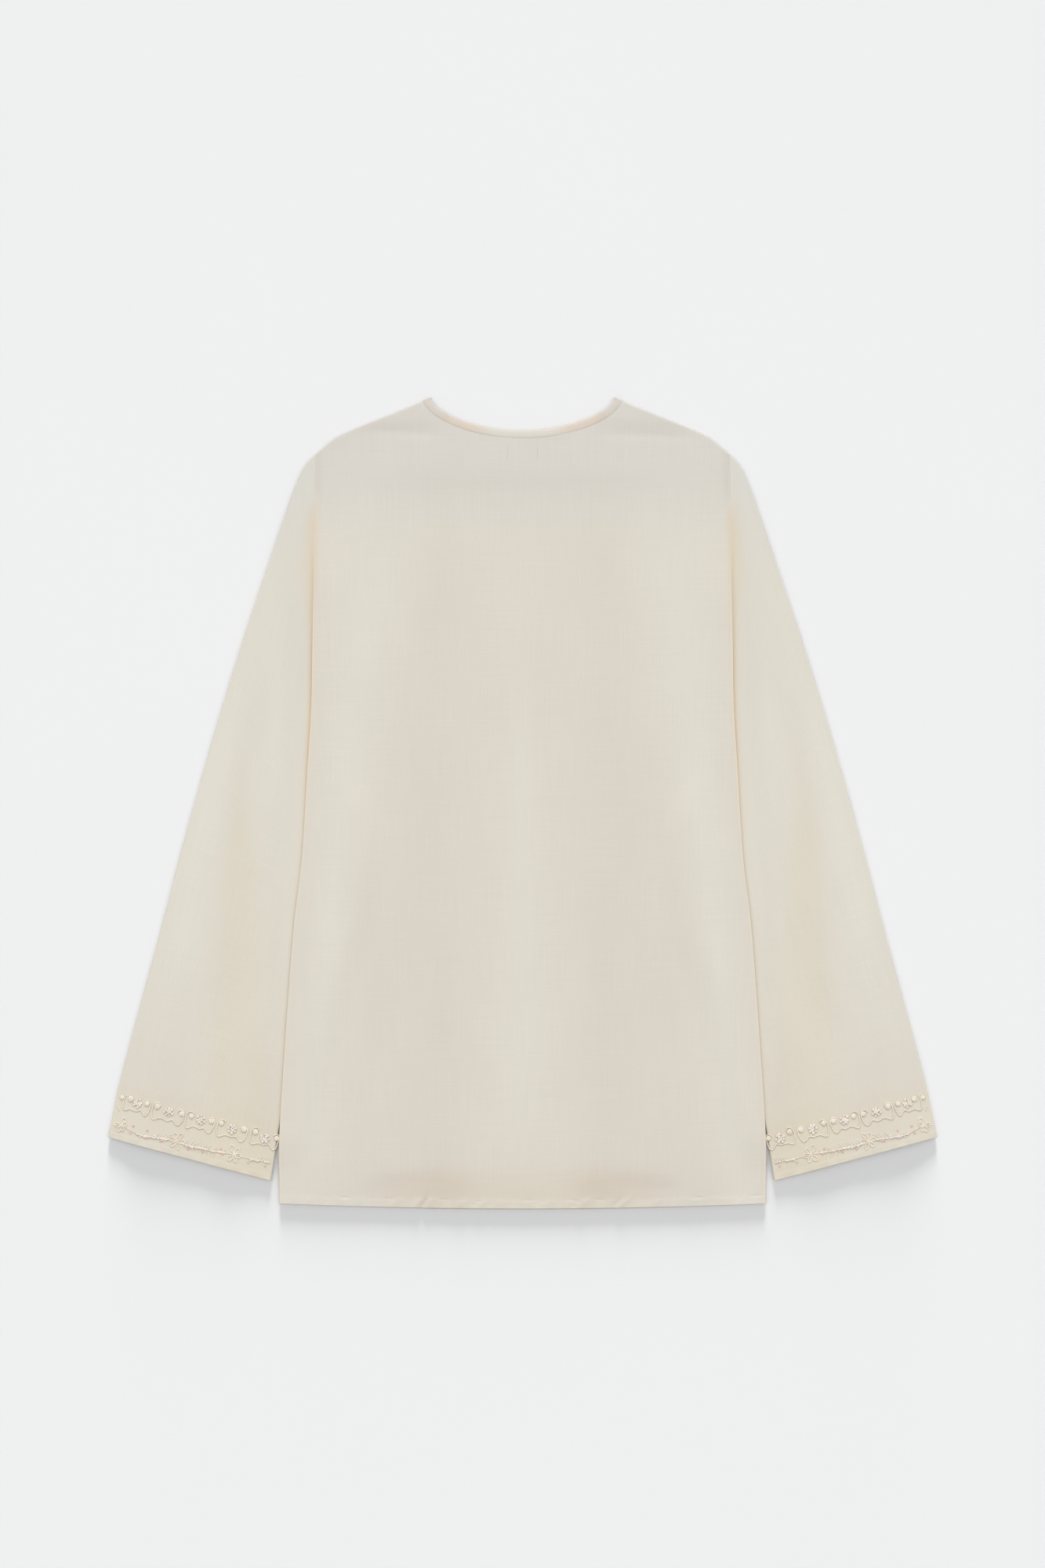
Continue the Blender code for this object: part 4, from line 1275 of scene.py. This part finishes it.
def satin_strands(side):
    """Each dot is filled with short arched strands that lie side by side."""
    strands = []
    for i, (along, above, size) in enumerate(DOTS):
        turn = math.radians(66 + 14 * math.sin(3 * i))
        run = Vector((math.cos(turn), math.sin(turn)))
        radius = DOT_RADIUS * size
        for k in range(DOT_STRANDS):
            offset = (k - DOT_STRANDS // 2) * radius * DOT_STRAND_SPACING
            half = 1.06 * math.sqrt(radius**2 - offset**2)
            strand = []
            for step in range(7):
                share = step / 3 - 1
                spot = run * (half * share) + Vector((-run.y, run.x)) * offset * 0.92
                height = 0.0010 * math.sqrt(1.0 - (0.98 * share) ** 2) * (0.40 + 0.60 * half / radius)
                strand.append(cuff_spot(along + spot.x, above + spot.y, side, height + 0.0001))
            strands.append(strand)
    return strands


def side_strands(side, draw):
    """Fine single stitches that lean out of the stem to both sides."""
    strands = []
    for along, up, down in STEM_SIDES:
        base = read_curve(STEM, along)
        for way, reach, lean in ((1, up, 0.65), (-1, down, 0.12)):
            if reach:
                across = along + reach * (lean + draw.uniform(-0.25, 0.20))
                halfway = (0.55 * along + 0.45 * across, base + way * reach * 0.55)
                foot = cuff_spot(along, base + way * 0.0005, side, 0.00020)
                tip = cuff_spot(across, max(base + way * reach, 0.0046), side, 0.00004)
                strands.append([foot, cuff_spot(*halfway, side, 0.00030), tip])
    return strands


def petal_strands(side, draw):
    """Each petal of a looped flower is one long loop, tied down at its tip."""
    strands = []
    outline = [(0.08, 0.0), (0.28, 0.50), (0.55, 0.95), (0.82, 0.90), (1.0, 0.15)]
    for (along, above), petals in zip(LOOP_PLACES, LOOP_PETALS):
        for length, degrees in petals:
            out = Vector((math.cos(math.radians(degrees)), math.sin(math.radians(degrees))))
            wide = Vector((-out.y, out.x)) * 0.0018 * draw.uniform(0.8, 1.15)
            loop = [out * (length * share) + wide * spread for share, spread in outline]
            loop += [out * (length * share) - wide * spread for share, spread in reversed(outline)]
            flat = [(max(along + spot.x, 0.0008), max(above + spot.y, 0.0048)) for spot in loop]
            strands.append(on_cuff(flat, side, 0.00034, 0.0005))
    return strands


def stem_knots(side, draw):
    """The knots that cover parts of the stem, close together."""
    places = []
    for start, end in WOUND:
        count = round((end - start) / STEM_KNOT_SPACING)
        for k in range(count + 1):
            along = start + (end - start) * k / count + draw.uniform(-0.0002, 0.0002)
            above = read_curve(STEM, along) + draw.uniform(-0.0004, 0.0004)
            spot = cuff_spot(along, above, side, 0.00065)
            places.append(knot_place(spot, draw.uniform(0.88, 1.10), draw))
            if draw.random() < 0.2:
                above += draw.choice((-0.0016, 0.0016))
                places.append(knot_place(cuff_spot(along, above, side, 0.00050), 0.75, draw))
    return places


def flower_knots(side, draw):
    """Each flower of the upper row is a ring of knots, a little uneven, round a few more."""
    places = []
    for along, above, _, _ in FLOWERS:
        start = draw.uniform(0, 1)
        for k in range(RING_KNOTS + INNER_KNOTS):
            round_it, reach = (RING_KNOTS, 0.0033) if k < RING_KNOTS else (INNER_KNOTS, 0.0013)
            turn = math.tau * (k + start + draw.uniform(-0.2, 0.2)) / round_it
            reach *= draw.uniform(0.85, 1.18)
            spot = cuff_spot(along + reach * math.cos(turn), above + reach * math.sin(turn), side, 0.00060)
            places.append(knot_place(spot, draw.uniform(0.95, 1.25), draw))
    return places


# %% Embroider both cuffs
# Half the thickness of each thread
SCROLL_THREAD = 0.00038
TIE_THREAD = 0.00012
DOT_THREAD = 0.00036
STEM_THREAD = 0.00025
SIDE_THREAD = 0.00026
PETAL_THREAD = 0.00048
embroidery = {-1: [], 1: []}


def embroider(side, word):
    """All the threads and knots of one cuff. The draws are seeded, so every run gives the same cuff."""
    draw = random.Random(41)
    cords, ties = scroll_strands(side)
    scroll = make_threads(f"scroll_cord_{word}", cords, SCROLL_THREAD, tan_thread)
    ties = make_threads(f"couching_stitches_{word}", ties, TIE_THREAD, tan_thread, 0)
    dots = make_threads(f"satin_dots_{word}", satin_strands(side), DOT_THREAD, cream_thread)
    flowers = copies_joined(f"knot_flowers_{word}", knot, flower_knots(side, draw), white_thread)
    wound = copies_joined(f"stem_knots_{word}", knot, stem_knots(side, draw), white_thread)
    stem = twisted(on_cuff(STEM, side, 0.00040), 0.00020, 0.0020)
    stem = make_threads(f"stem_cord_{word}", stem, STEM_THREAD, tan_thread)
    sides = make_threads(f"side_stitches_{word}", side_strands(side, draw), SIDE_THREAD, tan_thread)
    loops = make_threads(f"looped_flowers_{word}", petal_strands(side, draw), PETAL_THREAD, tan_thread)
    dotted = [knot_place(cuff_spot(*spot, side, 0.00050), 0.88, draw) for spot in CORAL_DOTS]
    coral = copies_joined(f"coral_knots_{word}", knot, dotted, coral_thread)
    hearts = [knot_place(cuff_spot(*spot, side, 0.0008), 0.85, draw) for spot in LOOP_PLACES]
    centres = copies_joined(f"flower_centres_{word}", knot, hearts, cream_thread)
    for slot, pieces in (
        ("cream_thread", (scroll, ties, dots, stem, sides, loops, centres)),
        ("knot_thread", (flowers, wound)),
        ("coral_thread", (coral,)),
    ):
        for piece in pieces:
            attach(piece, "root")
            embroidery[side].append(piece)
    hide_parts(f"scroll_row_{word}")
    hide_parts(*[f"flower_cluster_{word}_{k + 1}" for k in range(5)])
    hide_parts(f"sprig_row_{word}")


for side, word in SIDES:
    embroider(side, word)

# %% Put the seeds away
for seed in (stitch, knot):
    bpy.data.objects.remove(seed, do_unlink=True)
print("pieces on a cuff:", len(embroidery[1]))

# %% Attach the cloth pieces and stitches, and hide the CAD parts the cloth replaces
for piece, node, slot in (
    (back_panel, "back", "ivory_cotton"),
    (front_panel, "front", "ivory_cotton"),
    (sleeve_left, "sleeve_left", "ivory_cotton"),
    (sleeve_right, "sleeve_right", "ivory_cotton"),
    (back_binding, "neck_binding_back", "neck_binding_cotton"),
    (front_binding, "neck_binding_front", "neck_binding_cotton"),
):
    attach(piece, "root")
    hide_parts(node)
for piece in (body_stitches, neck_tacks, cuff_stitches[-1], cuff_stitches[1]):
    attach(piece, "root")
